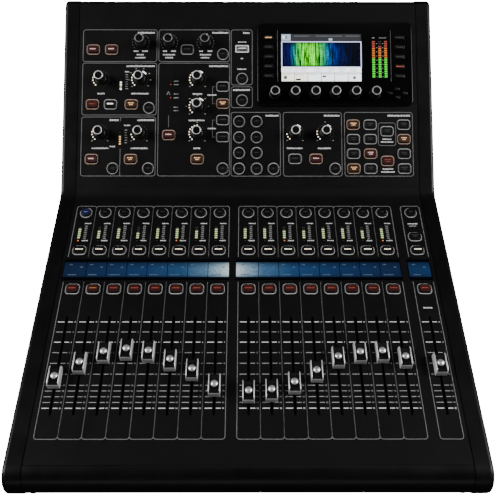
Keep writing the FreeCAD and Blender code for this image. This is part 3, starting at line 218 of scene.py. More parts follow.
# the screens
def screen_mats():
    # colour graph: columns of light whose hue runs across the graph
    m, nt, b, tc = _nodes("screen_graph")
    sep = nt.nodes.new("ShaderNodeSeparateXYZ")
    nt.links.new(tc.outputs["UV"], sep.inputs[0])
    hue = ramp(nt, sep.outputs[0], [(0.0, (0.0012, 0.0008, 0.030)), (0.10, (0.002, 0.001, 0.050)), (0.15, (0.004, 0.10, 0.10)), (0.21, (0.02, 0.44, 0.03)), (0.32, (0.09, 0.62, 0.002)),
                                    (0.43, (0.06, 0.60, 0.002)), (0.50, (0.012, 0.32, 0.05)), (0.57, (0.002, 0.09, 0.16)), (0.64, (0.001, 0.014, 0.12)),
                                    (0.74, (0.0006, 0.002, 0.030)), (0.86, (0.0003, 0.0008, 0.008)), (1.0, (0.0002, 0.0004, 0.003))])
    n1 = noise(nt, tc, 1.0, 3.0, 0.6, (46.0, 1.2, 1.0), "UV")
    n2 = noise(nt, tc, 1.0, 4.0, 0.6, (24.0, 16.0, 1.0), "UV")
    add = nt.nodes.new("ShaderNodeMath"); add.operation = "MULTIPLY"
    nt.links.new(maprange(nt, n1.outputs[0], 0.03, 1.9, 0.40, 0.64).outputs[0], add.inputs[0])
    nt.links.new(maprange(nt, n2.outputs[0], 0.45, 1.2, 0.3, 0.7).outputs[0], add.inputs[1])
    # fades towards the graph's upper and lower edges
    env = ramp(nt, sep.outputs[1], [(0.0, (0.12, 0.12, 0.12)), (0.10, (0.75, 0.75, 0.75)), (0.5, (1, 1, 1)), (0.85, (0.8, 0.8, 0.8)), (1.0, (0.25, 0.25, 0.25))])
    mul2 = nt.nodes.new("ShaderNodeMath"); mul2.operation = "MULTIPLY"
    nt.links.new(add.outputs[0], mul2.inputs[0]); nt.links.new(env.outputs[0], mul2.inputs[1])
    vm = nt.nodes.new("ShaderNodeVectorMath"); vm.operation = "SCALE"
    nt.links.new(hue.outputs[0], vm.inputs[0]); nt.links.new(mul2.outputs[0], vm.inputs["Scale"])
    nt.links.new(vm.outputs[0], b.inputs["Emission Color"])
    b.inputs["Emission Strength"].default_value = 3.2
    b.inputs["Base Color"].default_value = (0.002, 0.003, 0.004, 1)
    b.inputs["Roughness"].default_value = 0.15
    M["scr_graph"] = m
    for nm, c, s in (("scr_white", (0.92, 0.95, 1.0), 2.6), ("scr_cream", (1.0, 0.96, 0.80), 2.3), ("scr_frame", (0.62, 0.62, 0.98), 2.0),
                     ("scr_tab", (0.50, 0.62, 0.80), 1.2), ("scr_bar", (0.03, 0.035, 0.05), 0.35), ("scr_dark", (0.004, 0.006, 0.012), 1.0),
                     ("scr_grey", (0.20, 0.23, 0.27), 0.6)):
        M[nm] = glow_mat(nm, c, s, (0.03, 0.03, 0.03), scale=700.0)
    M["scr_ink"] = finish_mat("scr_ink", (0.012, 0.013, 0.018), (0.2, 0.3), var=0.3, scale=900, bump_s=0.0)
    # blue channel display: deep blue at the outer ends; the pale white end towards the middle of the desk is a painted
    # reflection of a lamp's glare
    for nm, flip in (("lcd_one", False), ("lcd_two", True), ("lcd_main", None)):
        m, nt, b, tc = _nodes(nm)
        sep = nt.nodes.new("ShaderNodeSeparateXYZ")
        nt.links.new(tc.outputs["UV"], sep.inputs[0])
        stops = [(0.0, (0.0015, 0.006, 0.020)), (0.2, (0.003, 0.013, 0.048)), (0.5, (0.006, 0.030, 0.090)), (0.72, (0.015, 0.060, 0.14)),
                 (0.86, (0.09, 0.19, 0.29)), (0.95, (0.38, 0.55, 0.62)), (1.0, (0.75, 0.9, 0.95))]
        if flip:
            stops = [(0.0, (0.70, 0.82, 0.88)), (0.06, (0.30, 0.44, 0.54)), (0.16, (0.05, 0.13, 0.24)), (0.34, (0.010, 0.048, 0.13)),
                     (0.6, (0.004, 0.022, 0.075)), (1.0, (0.0016, 0.008, 0.030))]
        if flip is None:
            stops = [(0.0, (0.003, 0.020, 0.065)), (1.0, (0.004, 0.026, 0.085))]
        # the pale stops of this ramp are painted glare, a reflection held in the emission colour
        hue = ramp(nt, sep.outputs[0], stops)
        n1 = noise(nt, tc, 1.0, 3.0, 0.6, (90.0, 7.0, 1.0), "UV")
        env = ramp(nt, sep.outputs[1], [(0.0, (0.25, 0.25, 0.25)), (0.16, (0.9, 0.9, 0.9)), (0.55, (1, 1, 1)), (0.82, (0.62, 0.62, 0.62)), (1.0, (0.15, 0.15, 0.15))])
        mul = nt.nodes.new("ShaderNodeMath"); mul.operation = "MULTIPLY"
        nt.links.new(maprange(nt, n1.outputs[0], 0.75, 1.25, 0.3, 0.7).outputs[0], mul.inputs[0])
        nt.links.new(env.outputs[0], mul.inputs[1])
        vm = nt.nodes.new("ShaderNodeVectorMath"); vm.operation = "SCALE"
        nt.links.new(hue.outputs[0], vm.inputs[0]); nt.links.new(mul.outputs[0], vm.inputs["Scale"])
        nt.links.new(vm.outputs[0], b.inputs["Emission Color"])
        b.inputs["Emission Strength"].default_value = 1.0
        b.inputs["Base Color"].default_value = (0.006, 0.012, 0.03, 1)
        b.inputs["Roughness"].default_value = 0.12
        M[nm] = m
    M["lcd_mark"] = glow_mat("lcd_mark", (0.25, 0.48, 0.75), 0.16, (0.03, 0.05, 0.08))


screen_mats()


# ------------------------------------------------------------------ mesh building
def circle(cx, cy, r, n=32):
    return [(cx + r * cos(2 * pi * i / n), cy + r * sin(2 * pi * i / n)) for i in range(n)]


def rrect(cx, cy, w, d, r, n=6):
    r = max(0.02, min(r, w / 2 - 0.001, d / 2 - 0.001))
    pts = []
    for (sx, sy, a0) in ((1, -1, -pi / 2), (1, 1, 0), (-1, 1, pi / 2), (-1, -1, pi)):
        ox, oy = cx + sx * (w / 2 - r), cy + sy * (d / 2 - r)
        for i in range(n + 1):
            a = a0 + pi / 2 * i / n
            pts.append((ox + r * cos(a), oy + r * sin(a)))
    return pts


class Build:
    def __init__(self, name):
        self.name, self.v, self.f, self.m, self.mats, self.uv = name, [], [], [], [], {}

    def mat(self, key):
        if key not in self.mats:
            self.mats.append(key)
        return self.mats.index(key)

    def face(self, idx, key):
        self.f.append(idx)
        self.m.append(self.mat(key))

    def loft(self, Mx, rings, keys, cap_lo=None, cap_hi=None):
        """rings: list of point lists (x, y, z), same length, counter-clockwise seen from +z, rising."""
        n = len(rings[0])
        base = len(self.v)
        for r in rings:
            for p in r:
                self.v.append(Mx @ Vector(p))
        flip = Mx.to_3x3().determinant() < 0
        for k in range(len(rings) - 1):
            for i in range(n):
                j = (i + 1) % n
                q = [base + k * n + i, base + k * n + j, base + (k + 1) * n + j, base + (k + 1) * n + i]
                self.face(q[::-1] if flip else q, keys[k] if isinstance(keys, (list, tuple)) else keys)
        lo = [base + i for i in range(n)][::-1]
        hi = [base + (len(rings) - 1) * n + i for i in range(n)]
        if flip:
            lo, hi = lo[::-1], hi[::-1]
        if cap_lo:
            self.face(lo, cap_lo)
        if cap_hi:
            self.face(hi, cap_hi)
            return len(self.f) - 1

    def prism(self, Mx, outline, z0, z1, key, side=None, bevel=0.0, inset=None):
        side = side or key
        if bevel:
            cx = sum(p[0] for p in outline) / len(outline)
            cy = sum(p[1] for p in outline) / len(outline)
            def shrink(o, b):
                res = []
                n = len(o)
                for i in range(n):
                    ax, ay = o[i - 1]; bx, by = o[i]; c_x, c_y = o[(i + 1) % n]
                    t1 = Vector((bx - ax, by - ay)); t2 = Vector((c_x - bx, c_y - by))
                    t = (t1.normalized() if t1.length > 1e-9 else Vector((0, 0))) + (t2.normalized() if t2.length > 1e-9 else Vector((0, 0)))
                    if t.length < 1e-9:
                        res.append((bx, by)); continue
                    t.normalize()
                    res.append((bx - t.y * b, by + t.x * b))
                return res
            o2 = shrink(outline, bevel * 0.3)
            o3 = shrink(outline, bevel)
            rings = [[(x, y, z0) for x, y in outline], [(x, y, z1 - bevel) for x, y in outline], [(x, y, z1 - bevel * 0.3) for x, y in o2], [(x, y, z1) for x, y in o3]]
        else:
            rings = [[(x, y, z0) for x, y in outline], [(x, y, z1) for x, y in outline]]
        return self.loft(Mx, rings, side, side, key)

    def frame(self, Mx, outer, inner, z0, z1, key):
        """A closed flat ring between two outlines with the same number of points."""
        n = len(outer)
        base = len(self.v)
        for o, z in ((outer, z0), (outer, z1), (inner, z1), (inner, z0)):
            for p in o:
                self.v.append(Mx @ Vector((p[0], p[1], z)))
        flip = Mx.to_3x3().determinant() < 0
        for k in range(4):
            for i in range(n):
                j = (i + 1) % n
                a, b2 = base + k * n, base + ((k + 1) % 4) * n
                q = [a + i, a + j, b2 + j, b2 + i]
                self.face(q[::-1] if flip else q, key)

    def bar(self, Mx, x0, x1, y0, y1, z0, z1, key, r=0.0):
        o = rrect((x0 + x1) / 2, (y0 + y1) / 2, abs(x1 - x0), abs(y1 - y0), r, 2) if r else [(x0, y0), (x1, y0), (x1, y1), (x0, y1)]
        return self.prism(Mx, o, z0, z1, key)

    def quad_uv(self, Mx, x0, x1, y0, y1, z0, z1, key):
        fi = self.bar(Mx, x0, x1, y0, y1, z0, z1, key)
        self.uv[fi] = [(0, 0), (1, 0), (1, 1), (0, 1)]

    def lathe(self, Mx, prof, keys, n=48, wob=None, cap_lo=None, cap_hi=None):
        rings = []
        for k, (r, z) in enumerate(prof):
            ring_ = []
            for i in range(n):
                a = 2 * pi * i / n
                rr_ = r + (wob(k, a) if wob else 0.0)
                ring_.append((rr_ * cos(a), rr_ * sin(a), z))
            rings.append(ring_)
        self.loft(Mx, rings, keys, cap_lo, cap_hi)

    def obj(self, body, slot=None, smooth=32.0):
        me = bpy.data.meshes.new(self.name)
        me.from_pydata([tuple(v) for v in self.v], [], self.f)
        for k in self.mats:
            me.materials.append(M[k])
        me.polygons.foreach_set("material_index", self.m)
        if self.uv:
            uvl = me.uv_layers.new(name="UVMap")
            for fi, uvs in self.uv.items():
                p = me.polygons[fi]
                for li, uv in zip(p.loop_indices, uvs):
                    uvl.data[li].uv = uv
        if smooth:
            me.polygons.foreach_set("use_smooth", [True] * len(me.polygons))
            me.set_sharp_from_angle(angle=radians(smooth))
        me.update()
        o = bpy.data.objects.new(self.name, me)
        bpy.context.scene.collection.objects.link(o)
        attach(o, body)
        return o


# ------------------------------------------------------------------ CAD nodes that stay, with their finishes
def dress(node, key):
    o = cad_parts[node]
    o.data.materials.clear()
    o.data.materials.append(M[key])


for node, key in (("side_cheek_left", "cheek"), ("side_cheek_right", "cheek"), ("front_armrest", "armrest"), ("fader_panel", "panel"),
                  ("control_panel", "panel"), ("rear_panel", "rear"), ("bottom_pan", "pan"), ("display_bezel", "bezel"), ("display_screen", "glass"),
                  ("channel_displays", "glass"), ("light_bar_meters", "lens"), ("fader_mechanisms", "mech"), ("power_supply", "steel"),
                  ("circuit_boards", "board"), ("xlr_sockets", "socket"), ("data_sockets", "steel"), ("mains_inlet", "socket_insert"),
                  ("rubber_feet", "rubber"), ("panel_screws", "steel"), ("power_switch_rocker", "rocker")):
    dress(node, key)

BODY = "console"
PITCH = 23.756
BANK1 = [-201.172 + i * PITCH for i in range(8)]
BANK2 = [0.508 + i * PITCH for i in range(8)]
MAIN_X = 202.65
STRIPS = BANK1 + BANK2 + [MAIN_X]
TOP = 0.055            # thickness of printed ink
Z0 = 0.004


# ------------------------------------------------------------------ printed marks
def line(b, Mx, x0, y0, x1, y1, w, key, z=TOP, zb=Z0):
    if abs(x1 - x0) >= abs(y1 - y0):
        b.bar(Mx, min(x0, x1), max(x0, x1), y0 - w / 2, y0 + w / 2, zb, z, key)
    else:
        b.bar(Mx, x0 - w / 2, x0 + w / 2, min(y0, y1), max(y0, y1), zb, z, key)


def outline_box(b, Mx, x0, x1, y0, y1, w=0.7, r=3.0, key="ink_dim"):
    cx, cy = (x0 + x1) / 2, (y0 + y1) / 2
    W, H = x1 - x0, y1 - y0
    b.frame(Mx, rrect(cx, cy, W + w, H + w, r + w / 2, 5), rrect(cx, cy, W - w, H - w, r - w / 2, 5), Z0, TOP, key)


def words(b, Mx, x0, x1, y, h=1.7, key="ink_white", z=TOP, zb=Z0, seed=0, gap=0.42):
    """A word's place on the panel, held by a row of plain blocks."""
    g = random.Random(int(abs(x0) * 13 + abs(y) * 7 + seed))
    x = x0
    while x < x1 - 0.5:
        w = min(g.uniform(0.9, 1.7), x1 - x)
        hh = h * g.choice((1.0, 1.0, 0.8))
        b.bar(Mx, x, x + w, y - h / 2, y - h / 2 + hh, zb, z, key)
        x += w + gap


SEG = {"0": "abcdef", "1": "bc", "2": "abged", "3": "abgcd", "4": "fgbc", "5": "afgcd", "6": "afgedc", "7": "abc", "8": "abcdefg", "9": "abcdfg"}


def digits(b, Mx, text, cx, cy, h=1.7, key="ink", z=TOP, zb=Z0):
    w, t = h * 0.52, h * 0.15
    adv = w + h * 0.22
    x = cx - (len(text) * adv - h * 0.22) / 2
    for ch in text:
        y0, y1, ym = cy - h / 2, cy + h / 2, cy
        P = {"a": (x, x + w, y1 - t, y1), "g": (x, x + w, ym - t / 2, ym + t / 2), "d": (x, x + w, y0, y0 + t), "f": (x, x + t, ym, y1),
             "e": (x, x + t, y0, ym), "b": (x + w - t, x + w, ym, y1), "c": (x + w - t, x + w, y0, ym)}
        for s in SEG[ch]:
            b.bar(Mx, *P[s], zb, z, key)
        x += adv


# ---- lower panel print
low = Build("fader_panel_print")
for i in range(8):
    for bx in (BANK1, BANK2):
        x = bx[i]
for bx in (BANK1, BANK2, [MAIN_X]):
    w = 0.72
    left = bx[0] - (PITCH if len(bx) > 1 else 23.5) / 2
    right = bx[-1] + (PITCH if len(bx) > 1 else 23.5) / 2
    r = 3.0
    # each strip: closed at the front, open at the displays
    for k, x in enumerate(bx):
        hw = (PITCH if len(bx) > 1 else 23.5) / 2
        n = 6
        for (ya, yb, near) in ((-20.8, -98.0, False), (-133.0, -317.7, True)):
            # an open-ended outline with two rounded corners, as one closed thin band
            if not near:
                pts_o = [(x - hw - w / 2, yb)] + [(x - hw - w / 2 + (r + w / 2) * (1 - cos(a)), ya + w / 2 - (r + w / 2) * (1 - sin(a))) for a in [pi / 2 * j / n for j in range(n + 1)]]
                pts_o += [(x + hw + w / 2 - (r + w / 2) * (1 - cos(a)), ya + w / 2 - (r + w / 2) * (1 - sin(a))) for a in [pi / 2 * (n - j) / n for j in range(n + 1)]] + [(x + hw + w / 2, yb)]
                pts_i = [(x - hw + w / 2, yb)] + [(x - hw + w / 2 + (r - w / 2) * (1 - cos(a)), ya - w / 2 - (r - w / 2) * (1 - sin(a))) for a in [pi / 2 * j / n for j in range(n + 1)]]
                pts_i += [(x + hw - w / 2 - (r - w / 2) * (1 - cos(a)), ya - w / 2 - (r - w / 2) * (1 - sin(a))) for a in [pi / 2 * (n - j) / n for j in range(n + 1)]] + [(x + hw - w / 2, yb)]
            else:
                pts_o = [(x + hw + w / 2, ya)] + [(x + hw + w / 2 - (r + w / 2) * (1 - cos(a)), yb - w / 2 + (r + w / 2) * (1 - sin(a))) for a in [pi / 2 * j / n for j in range(n + 1)]]
                pts_o += [(x - hw - w / 2 + (r + w / 2) * (1 - cos(a)), yb - w / 2 + (r + w / 2) * (1 - sin(a))) for a in [pi / 2 * (n - j) / n for j in range(n + 1)]] + [(x - hw - w / 2, ya)]
                pts_i = [(x + hw - w / 2, ya)] + [(x + hw - w / 2 - (r - w / 2) * (1 - cos(a)), yb + w / 2 + (r - w / 2) * (1 - sin(a))) for a in [pi / 2 * j / n for j in range(n + 1)]]
                pts_i += [(x - hw + w / 2 + (r - w / 2) * (1 - cos(a)), yb + w / 2 + (r - w / 2) * (1 - sin(a))) for a in [pi / 2 * (n - j) / n for j in range(n + 1)]] + [(x - hw + w / 2, ya)]
            base = len(low.v)
            N = len(pts_o)
            for z in (Z0, TOP):
                for p in pts_o + pts_i:
                    low.v.append(ML @ Vector((p[0], p[1], z)))
            for j in range(N - 1):
                o0, o1, i0, i1 = base + j, base + j + 1, base + N + j, base + N + j + 1
                T0 = 2 * N
                low.face([o0 + T0, i0 + T0, i1 + T0, o1 + T0], "ink_dim")
                low.face([o0, o1, i1, i0], "ink_dim")
                low.face([o0, o0 + T0, o1 + T0, o1], "ink_dim")
                low.face([i0, i1, i1 + T0, i0 + T0], "ink_dim")
            for j in (0, N - 1):
                q = [base + j, base + N + j, base + N + j + 2 * N, base + j + 2 * N]
                low.face(q if j == 0 else q[::-1], "ink_dim")
scale_s = [185.6, 198.1, 210.6, 223.1, 235.6, 248.1, 260.6, 266.85, 273.1, 279.35, 285.6]
scale_n = ["10", "5", "0", "5", "10", "20", "30", "40", "50", "60", "90"]
for x in STRIPS:
    for k, s in enumerate(scale_s):
        key = "ink_white" if k in (0, 2, 10) else "ink"
        hgt = 0.95 if k in (0, 2, 10) else 0.75
        low.bar(ML, x - 9.5, x - 2.0, -s - hgt / 2, -s + hgt / 2, Z0, TOP, key)
        low.bar(ML, x + 1.9, x + 6.9, -s - hgt / 2, -s + hgt / 2, Z0, TOP, key)
        digits(low, ML, scale_n[k], x + 9.3, -s, 1.5, key)
for x in BANK1 + BANK2:
    words(low, ML, x + 0.8, x + 8.6, -48.0, 1.5, "ink_white")
    for k in range(7):
        s = 52.2 + k * 3.05
        low.bar(ML, x + 1.9 - (0.5 if k % 2 else 0), x + 5.0, -s - 0.45, -s + 0.45, Z0, TOP, "ink")
    words(low, ML, x + 0.4, x + 8.0, -74.0, 1.5, "ink_white")
words(low, ML, MAIN_X - 5.0, MAIN_X + 5.0, -167.5, 1.9, "ink_white")
words(low, ML, MAIN_X - 6.0, MAIN_X + 6.0, -48.5, 1.5, "ink_white")
words(low, ML, MAIN_X - 4.5, MAIN_X + 4.5, -52.0, 1.5, "ink")
low.obj(BODY, "metal_trim", smooth=0)

# ---- upper panel print
upb = Build("control_panel_print")
for (x0, x1, t0, t1) in ((-213.6, -117.9, 173.1, 215.6), (-115.4, -23.6, 173.1, 215.6), (-213.6, -117.9, 102.3, 171.0), (-213.6, -118.6, 22.7, 99.6),
                         (-115.4, -23.6, 22.7, 171.0), (-21.5, 5.7, 142.0, 215.6), (-21.5, 5.8, 112.0, 139.5), (-21.5, 41.7, 22.5, 105.8),
                         (45.5, 120.5, 22.5, 105.8), (124.2, 211.7, 22.5, 105.8)):
    outline_box(upb, MU, x0, x1, t0, t1, 0.75, 3.2)
outline_box(upb, MU, 167.5, 190.0, 62.3, 92.0, 0.7, 3.2)
line(upb, MU, -163.6, 94.0, -163.6, 99.6, 0.7, "ink_dim")
line(upb, MU, -163.6, 22.7, -163.6, 58.0, 0.7, "ink_dim")
line(upb, MU, -102.0, 86.0, -102.0, 101.5, 0.6, "ink_dim")
for ta, tb in ((117.3, 139.7), (73.4, 95.6)):
    line(upb, MU, -45.5, ta, -45.5, tb, 0.6, "ink_dim")
    line(upb, MU, -45.5, ta, -42.2, ta, 0.6, "ink_dim")
    line(upb, MU, -45.5, tb, -42.2, tb, 0.6, "ink_dim")
WORDS = [(-143, -121, 211.7, 2.3), (-46, -25.5, 211.7, 2.3), (-157, -120.5, 167, 2.3), (-50, -25.5, 167, 2.3), (-177.5, -166, 95.5, 2.3), (-142, -120.5, 95.5, 2.3),
         (-6, 3, 211.5, 2.3), (-19, 3, 135.3, 2.3), (23, 40, 101.5, 2.3), (98, 118, 101.5, 2.3), (180, 209.5, 101.5, 2.3),
         (-148, -142, 187, 1.8), (-137, -130, 187, 1.8), (-144, -135, 182.3, 1.8), (-146, -133, 178.3, 1.8),
         (-110, -105, 187, 1.8), (-99.5, -93, 187, 1.8), (-110, -94, 182.3, 1.8), (-107, -97, 178.3, 1.8),
         (-63, -58, 187, 1.8), (-52, -46, 187, 1.8), (-62, -47.5, 182.3, 1.8), (-61, -49, 178.3, 1.8),
         (-194, -184, 130.5, 1.9), (-150.5, -128, 130.5, 1.9), (-200, -178, 58.7, 1.9), (-150, -128, 58.7, 1.9), (-159, -151, 88.7, 1.6), (-177, -169.5, 61.0, 1.6),
         (-71, -59, 130, 1.9), (-76, -55, 95.2, 1.9), (-69.5, -60.5, 58.7, 1.9), (-52, -40.5, 128.6, 1.6), (-51.5, -41, 84.5, 1.6),
         (50, 70, 58.7, 1.9), (90, 106.5, 58.7, 1.9), (173, 184.5, 70.6, 1.6), (170.8, 186.6, 67.0, 1.6), (172.5, 185.5, 31.8, 1.7), (170.5, 187.5, 28.0, 1.7),
         (-13.5, -1.5, 163.0, 1.6), (-9.0, -6.0, 177.2, 1.4)]
for x0, x1, t, h in WORDS:
    words(upb, MU, x0, x1, t, h)
for i, t in enumerate((147, 142.5, 130, 125, 112.5, 108)):
    words(upb, MU, -95.5, -89.5, t, 1.3, "ink")
    upb.prism(at(MU, -99.5, t), circle(0, 0, 0.7, 12), Z0, 0.12, "lit_red" if i in (1, 3) else "led_off")
# a small peak mark
for sgn in (-1, 1):
    A, B_ = (-102.5, 133.2), (-102.5 + sgn * 2.2, 128.8)
    d = Vector((B_[0] - A[0], B_[1] - A[1])).normalized() * 0.0
    nx, ny = -(B_[1] - A[1]), (B_[0] - A[0])
    L = sqrt(nx * nx + ny * ny); nx, ny = nx / L * 0.3, ny / L * 0.3
    o = [(A[0] - nx, A[1] - ny), (B_[0] - nx, B_[1] - ny), (B_[0] + nx, B_[1] + ny), (A[0] + nx, A[1] + ny)]
    upb.prism(MU, o if sgn < 0 else o[::-1], Z0, TOP, "ink")
# columns of scale dashes beside the small meters
for k in range(7):
    t = 137.0 + k * 3.1
    words(upb, MU, -158.0, -154.6, t, 1.1, "ink", seed=k)
words(upb, MU, -159.0, -153.0, 159.5, 1.5, "ink_white")
for k in range(6):
    t = 66.0 + k * 3.3
    words(upb, MU, -158.0, -154.8, t, 1.1, "ink", seed=k)
# marks round the low-cut knob and the filter knobs
for (kx, kt, ticks) in ((-139.7, 150.0, (-135, -95, -55, -20, 20, 60, 95, 130)), (-65.0, 150.0, (-135, 135)), (-65.0, 113.8, (-135, -90, -45, 0, 45, 90, 135)),
                        (-65.0, 78.5, (-135, 0, 135)), (60.5, 79.0, (-135, 135)), (99.4, 79.0, (-135, 0, 135)), (-189.7, 78.5, (-135, 135)), (-139.5, 78.5, (-135, 135))):
    for a in ticks:
        rr_ = 14.2
        x, t = kx + rr_ * sin(radians(a)), kt + rr_ * cos(radians(a))
        upb.bar(at(MU, x, t), -1.0, 1.0, -0.45, 0.45, Z0, TOP, "ink")
# white border of the USB socket
upb.frame(MU, rrect(-7.4, 190.1, 17.6, 10.0, 1.4, 5), rrect(-7.4, 190.1, 14.9, 7.4, 0.7, 5), Z0, 0.30, "ink_white")
upb.bar(MU, -11.5, -3.5, 198.9, 199.6, Z0, TOP, "ink_white")
upb.prism(at(MU, -11.9, 199.25), circle(0, 0, 0.9, 14), Z0, TOP, "ink_white")
upb.prism(at(MU, -3.0, 199.25), [(-0.2, -0.9), (1.4, 0), (-0.2, 0.9)], Z0, TOP, "ink_white")
upb.obj(BODY, "metal_trim", smooth=0)

# ------------------------------------------------------------------ keys
SQUARES = [(-200.5, 189.0, "red"), (-176.7, 189.0, "red"), (-78.5, 189.0, "off"),
           (-200.2, 116.2, "dred"), (-177.0, 116.2, "white1"), (-150.2, 116.2, "orange"),
           (-200.0, 44.6, "red"), (-150.0, 44.6, "orange"), (-101.6, 76.0, "red"), (-64.8, 44.6, "orange"),
           (-32.3, 139.7, "off"), (-32.3, 117.3, "orange"), (-32.3, 95.6, "off"), (-32.3, 73.4, "off"),
           (60.4, 45.0, "off"), (87.3, 45.0, "red")]
SQUARES += [(135.5, t, c) for t, c in ((89.6, "orange"), (70.6, "off"), (51.7, "off"), (32.3, "orange"))]
SQUARES += [(157.2, t, c) for t, c in ((89.6, "off"), (70.6, "off"), (51.7, "pink"), (32.3, "off"))]
SQUARES += [(178.8, 81.0, "off"), (178.8, 42.3, "dred")]
SQUARES += [(200.4, t, c) for t, c in ((89.6, "off"), (70.6, "orange"), (51.7, "off"), (32.3, "off"))]
ROUNDS = [(-32.3, 182.9), (-127.4, 111.6), (-172.9, 32.5), (-127.6, 32.5), (-32.3, 32.5), (-7.4, 150.3), (-7.5, 121.7),
          (-11.2, 93.8), (11.2, 93.8), (-11.2, 73.0), (11.2, 73.0), (-11.2, 52.7), (11.2, 52.7), (-11.2, 32.3), (11.2, 32.3),
          (32.8, 32.3), (111.8, 32.3)]
# the warm collar given to lit keys is a painted glow of the key's light on the grey collar
STYLE = {"off": ("key", "legend_off", "collar"), "red": ("dim_red", "lit_pink", "collar_painted_glow"), "dred": ("dim_red", "legend_red", "collar_painted_glow"),
         "orange": ("dim_orange", "lit_orange", "collar_painted_glow"), "pink": ("dim_red", "lit_pink", "collar_painted_glow"), "white1": ("key", "lit_white", "collar"),
         "solo": ("key", "lit_cream", "collar"), "mute_red": ("dim_red", "legend_red", "collar"), "mute_orange": ("dim_red", "legend_orange", "collar"), "blue": ("dim_blue", "lit_blue", "collar")}


def key_rect(b, Mx, x, y, w, d, r, style, rise=2.8, drop=5.0, rows=1, lw=None):
    top, leg, _ = STYLE[style]
    A = at(Mx, x, y)
    o = lambda i, rr=None: rrect(0, 0, w - 2 * i, d - 2 * i, max(0.3, r - i * 0.8), 6)
    rings = [[(p, q, -drop) for p, q in o(0)], [(p, q, rise - 0.9) for p, q in o(0.0)], [(p, q, rise - 0.35) for p, q in o(0.18)],
             [(p, q, rise - 0.06) for p, q in o(0.55)], [(p, q, rise) for p, q in o(1.0)], [(p, q, rise - 0.04) for p, q in o(1.6)], [(p, q, rise - 0.14) for p, q in o(2.6)]]
    b.loft(A, rings, ["key", "key", "key", "key", top, top], "key", top)
    zt = rise - 0.14
    lw = lw or (w - 6.4)
    if rows == 1:
        words(b, A, -lw / 2, lw / 2, 0.2, 1.5, leg, zt + 0.05, zt - 0.2, seed=int(x + y))
    elif rows == 2:
        words(b, A, -lw / 2, lw / 2, 1.25, 1.25, leg, zt + 0.05, zt - 0.2, seed=int(x + y))
        words(b, A, -lw / 3.2, lw / 3.2, -1.0, 1.25, leg, zt + 0.05, zt - 0.2, seed=int(x - y))


def key_round(b, Mx, x, y, dia, style, rise=2.8, drop=5.0):
    top, leg, _ = STYLE[style]
    A = at(Mx, x, y)
    R = dia / 2
    prof = [(R, -drop), (R, rise - 0.9), (R - 0.18, rise - 0.35), (R - 0.55, rise - 0.06), (R - 1.0, rise), (R - 1.7, rise - 0.05), (R - 3.0, rise - 0.18)]
    b.lathe(A, prof, ["key", "key", "key", "key", top, top], 36, None, "key", top)
    zt = rise - 0.18
    words(b, A, -2.4, 2.4, 0.0, 1.1, leg, zt + 0.05, zt - 0.2, seed=int(x + y))


def collar_rect(b, Mx, x, y, w, d, r, wo, do, ro, key="collar"):
    b.frame(at(Mx, x, y), rrect(0, 0, wo, do, ro, 7), rrect(0, 0, w, d, r, 7), Z0, 0.32, key)


def collar_round(b, Mx, x, y, di, do_, key="collar"):
    b.frame(at(Mx, x, y), circle(0, 0, do_ / 2, 40), circle(0, 0, di / 2, 40), Z0, 0.32, key)


col = Build("key_collars")
pbk = Build("panel_keys")
for i, (x, t, c) in enumerate(SQUARES):
    key_rect(pbk, MU, x, t, 14.0, 10.2, 2.6, c, rows=2 if (x > 130 or c == "orange") else 1)
    collar_rect(col, MU, x, t, 15.1, 11.3, 3.2, 17.1, 13.3, 4.2, STYLE[c][2])
for x, t in ROUNDS:
    key_round(pbk, MU, x, t, 12.4, "off")
    collar_round(col, MU, x, t, 13.3, 15.2)
o = pbk.obj("panel_buttons", "key_plastic"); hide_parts("panel_buttons")

mute_style = ["mute_red", "mute_orange", "mute_red", "mute_red", "mute_red", "mute_red", "mute_red", "mute_red",
              "mute_red", "mute_red", "mute_red", "mute_red", "mute_red", "mute_red", "mute_red", "mute_red", "mute_red"]
mk = Build("mute_keys"); sk = Build("solo_keys"); ek = Build("select_keys")
for i, x in enumerate(STRIPS):
    key_rect(mk, ML, x, -142.8, 13.6, 10.8, 2.8, mute_style[i], lw=8.0)
    collar_rect(col, ML, x, -142.8, 14.6, 11.8, 3.4, 16.5, 13.9, 4.4)
    key_rect(sk, ML, x, -88.5, 13.8, 10.2, 3.4, "solo", lw=8.6)
    collar_rect(col, ML, x, -88.5, 14.8, 11.2, 4.2, 16.8, 13.4, 5.4)
    key_round(ek, ML, x, -31.5, 12.4, "blue" if i == 0 else "off")
    collar_round(col, ML, x, -31.5, 13.3, 15.3)
key_rect(sk, ML, MAIN_X, -68.5, 13.8, 10.2, 3.4, "off", lw=8.0, rows=2)
collar_rect(col, ML, MAIN_X, -68.5, 14.8, 11.2, 4.2, 16.8, 13.4, 5.4)
o = mk.obj("mute_buttons", "key_plastic"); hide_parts("mute_buttons")
o = sk.obj("solo_buttons", "key_plastic"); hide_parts("solo_buttons")
o = ek.obj("select_buttons", "key_plastic"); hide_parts("select_buttons")
col.obj(BODY, "key_plastic")

# ------------------------------------------------------------------ display unit
DKEYS = [(27.0, t) for t in (203.6, 190.8, 178.0, 165.1, 152.4)] + [(196.2, t) for t in (203.6, 190.8, 178.0, 165.1, 152.4)]
NAVS = [(192.0, 135.4, 90), (182.4, 129.9, 180), (201.8, 129.9, 0), (192.0, 124.4, -90)]
BR = 3.4
dk = Build("display_key_caps")
for i, (x, t) in enumerate(DKEYS):
    A = at(MU, x, t)
    lit = "lit_orange" if i == 0 else ("lit_red" if i == 8 else "legend_off")
    rg = [[(p, q, -3.0) for p, q in rrect(0, 0, 12.6, 6.0, 1.5)], [(p, q, BR + 0.7) for p, q in rrect(0, 0, 12.6, 6.0, 1.5)],
          [(p, q, BR + 1.05) for p, q in rrect(0, 0, 12.2, 5.6, 1.4)], [(p, q, BR + 1.2) for p, q in rrect(0, 0, 11.4, 4.8, 1.1)]]
    dk.loft(A, rg, "knob_top", "knob_top", "knob_top")
    words(dk, A, -4.6, 4.6, 0.0, 1.5, lit, BR + 1.25, BR + 1.0, seed=i)
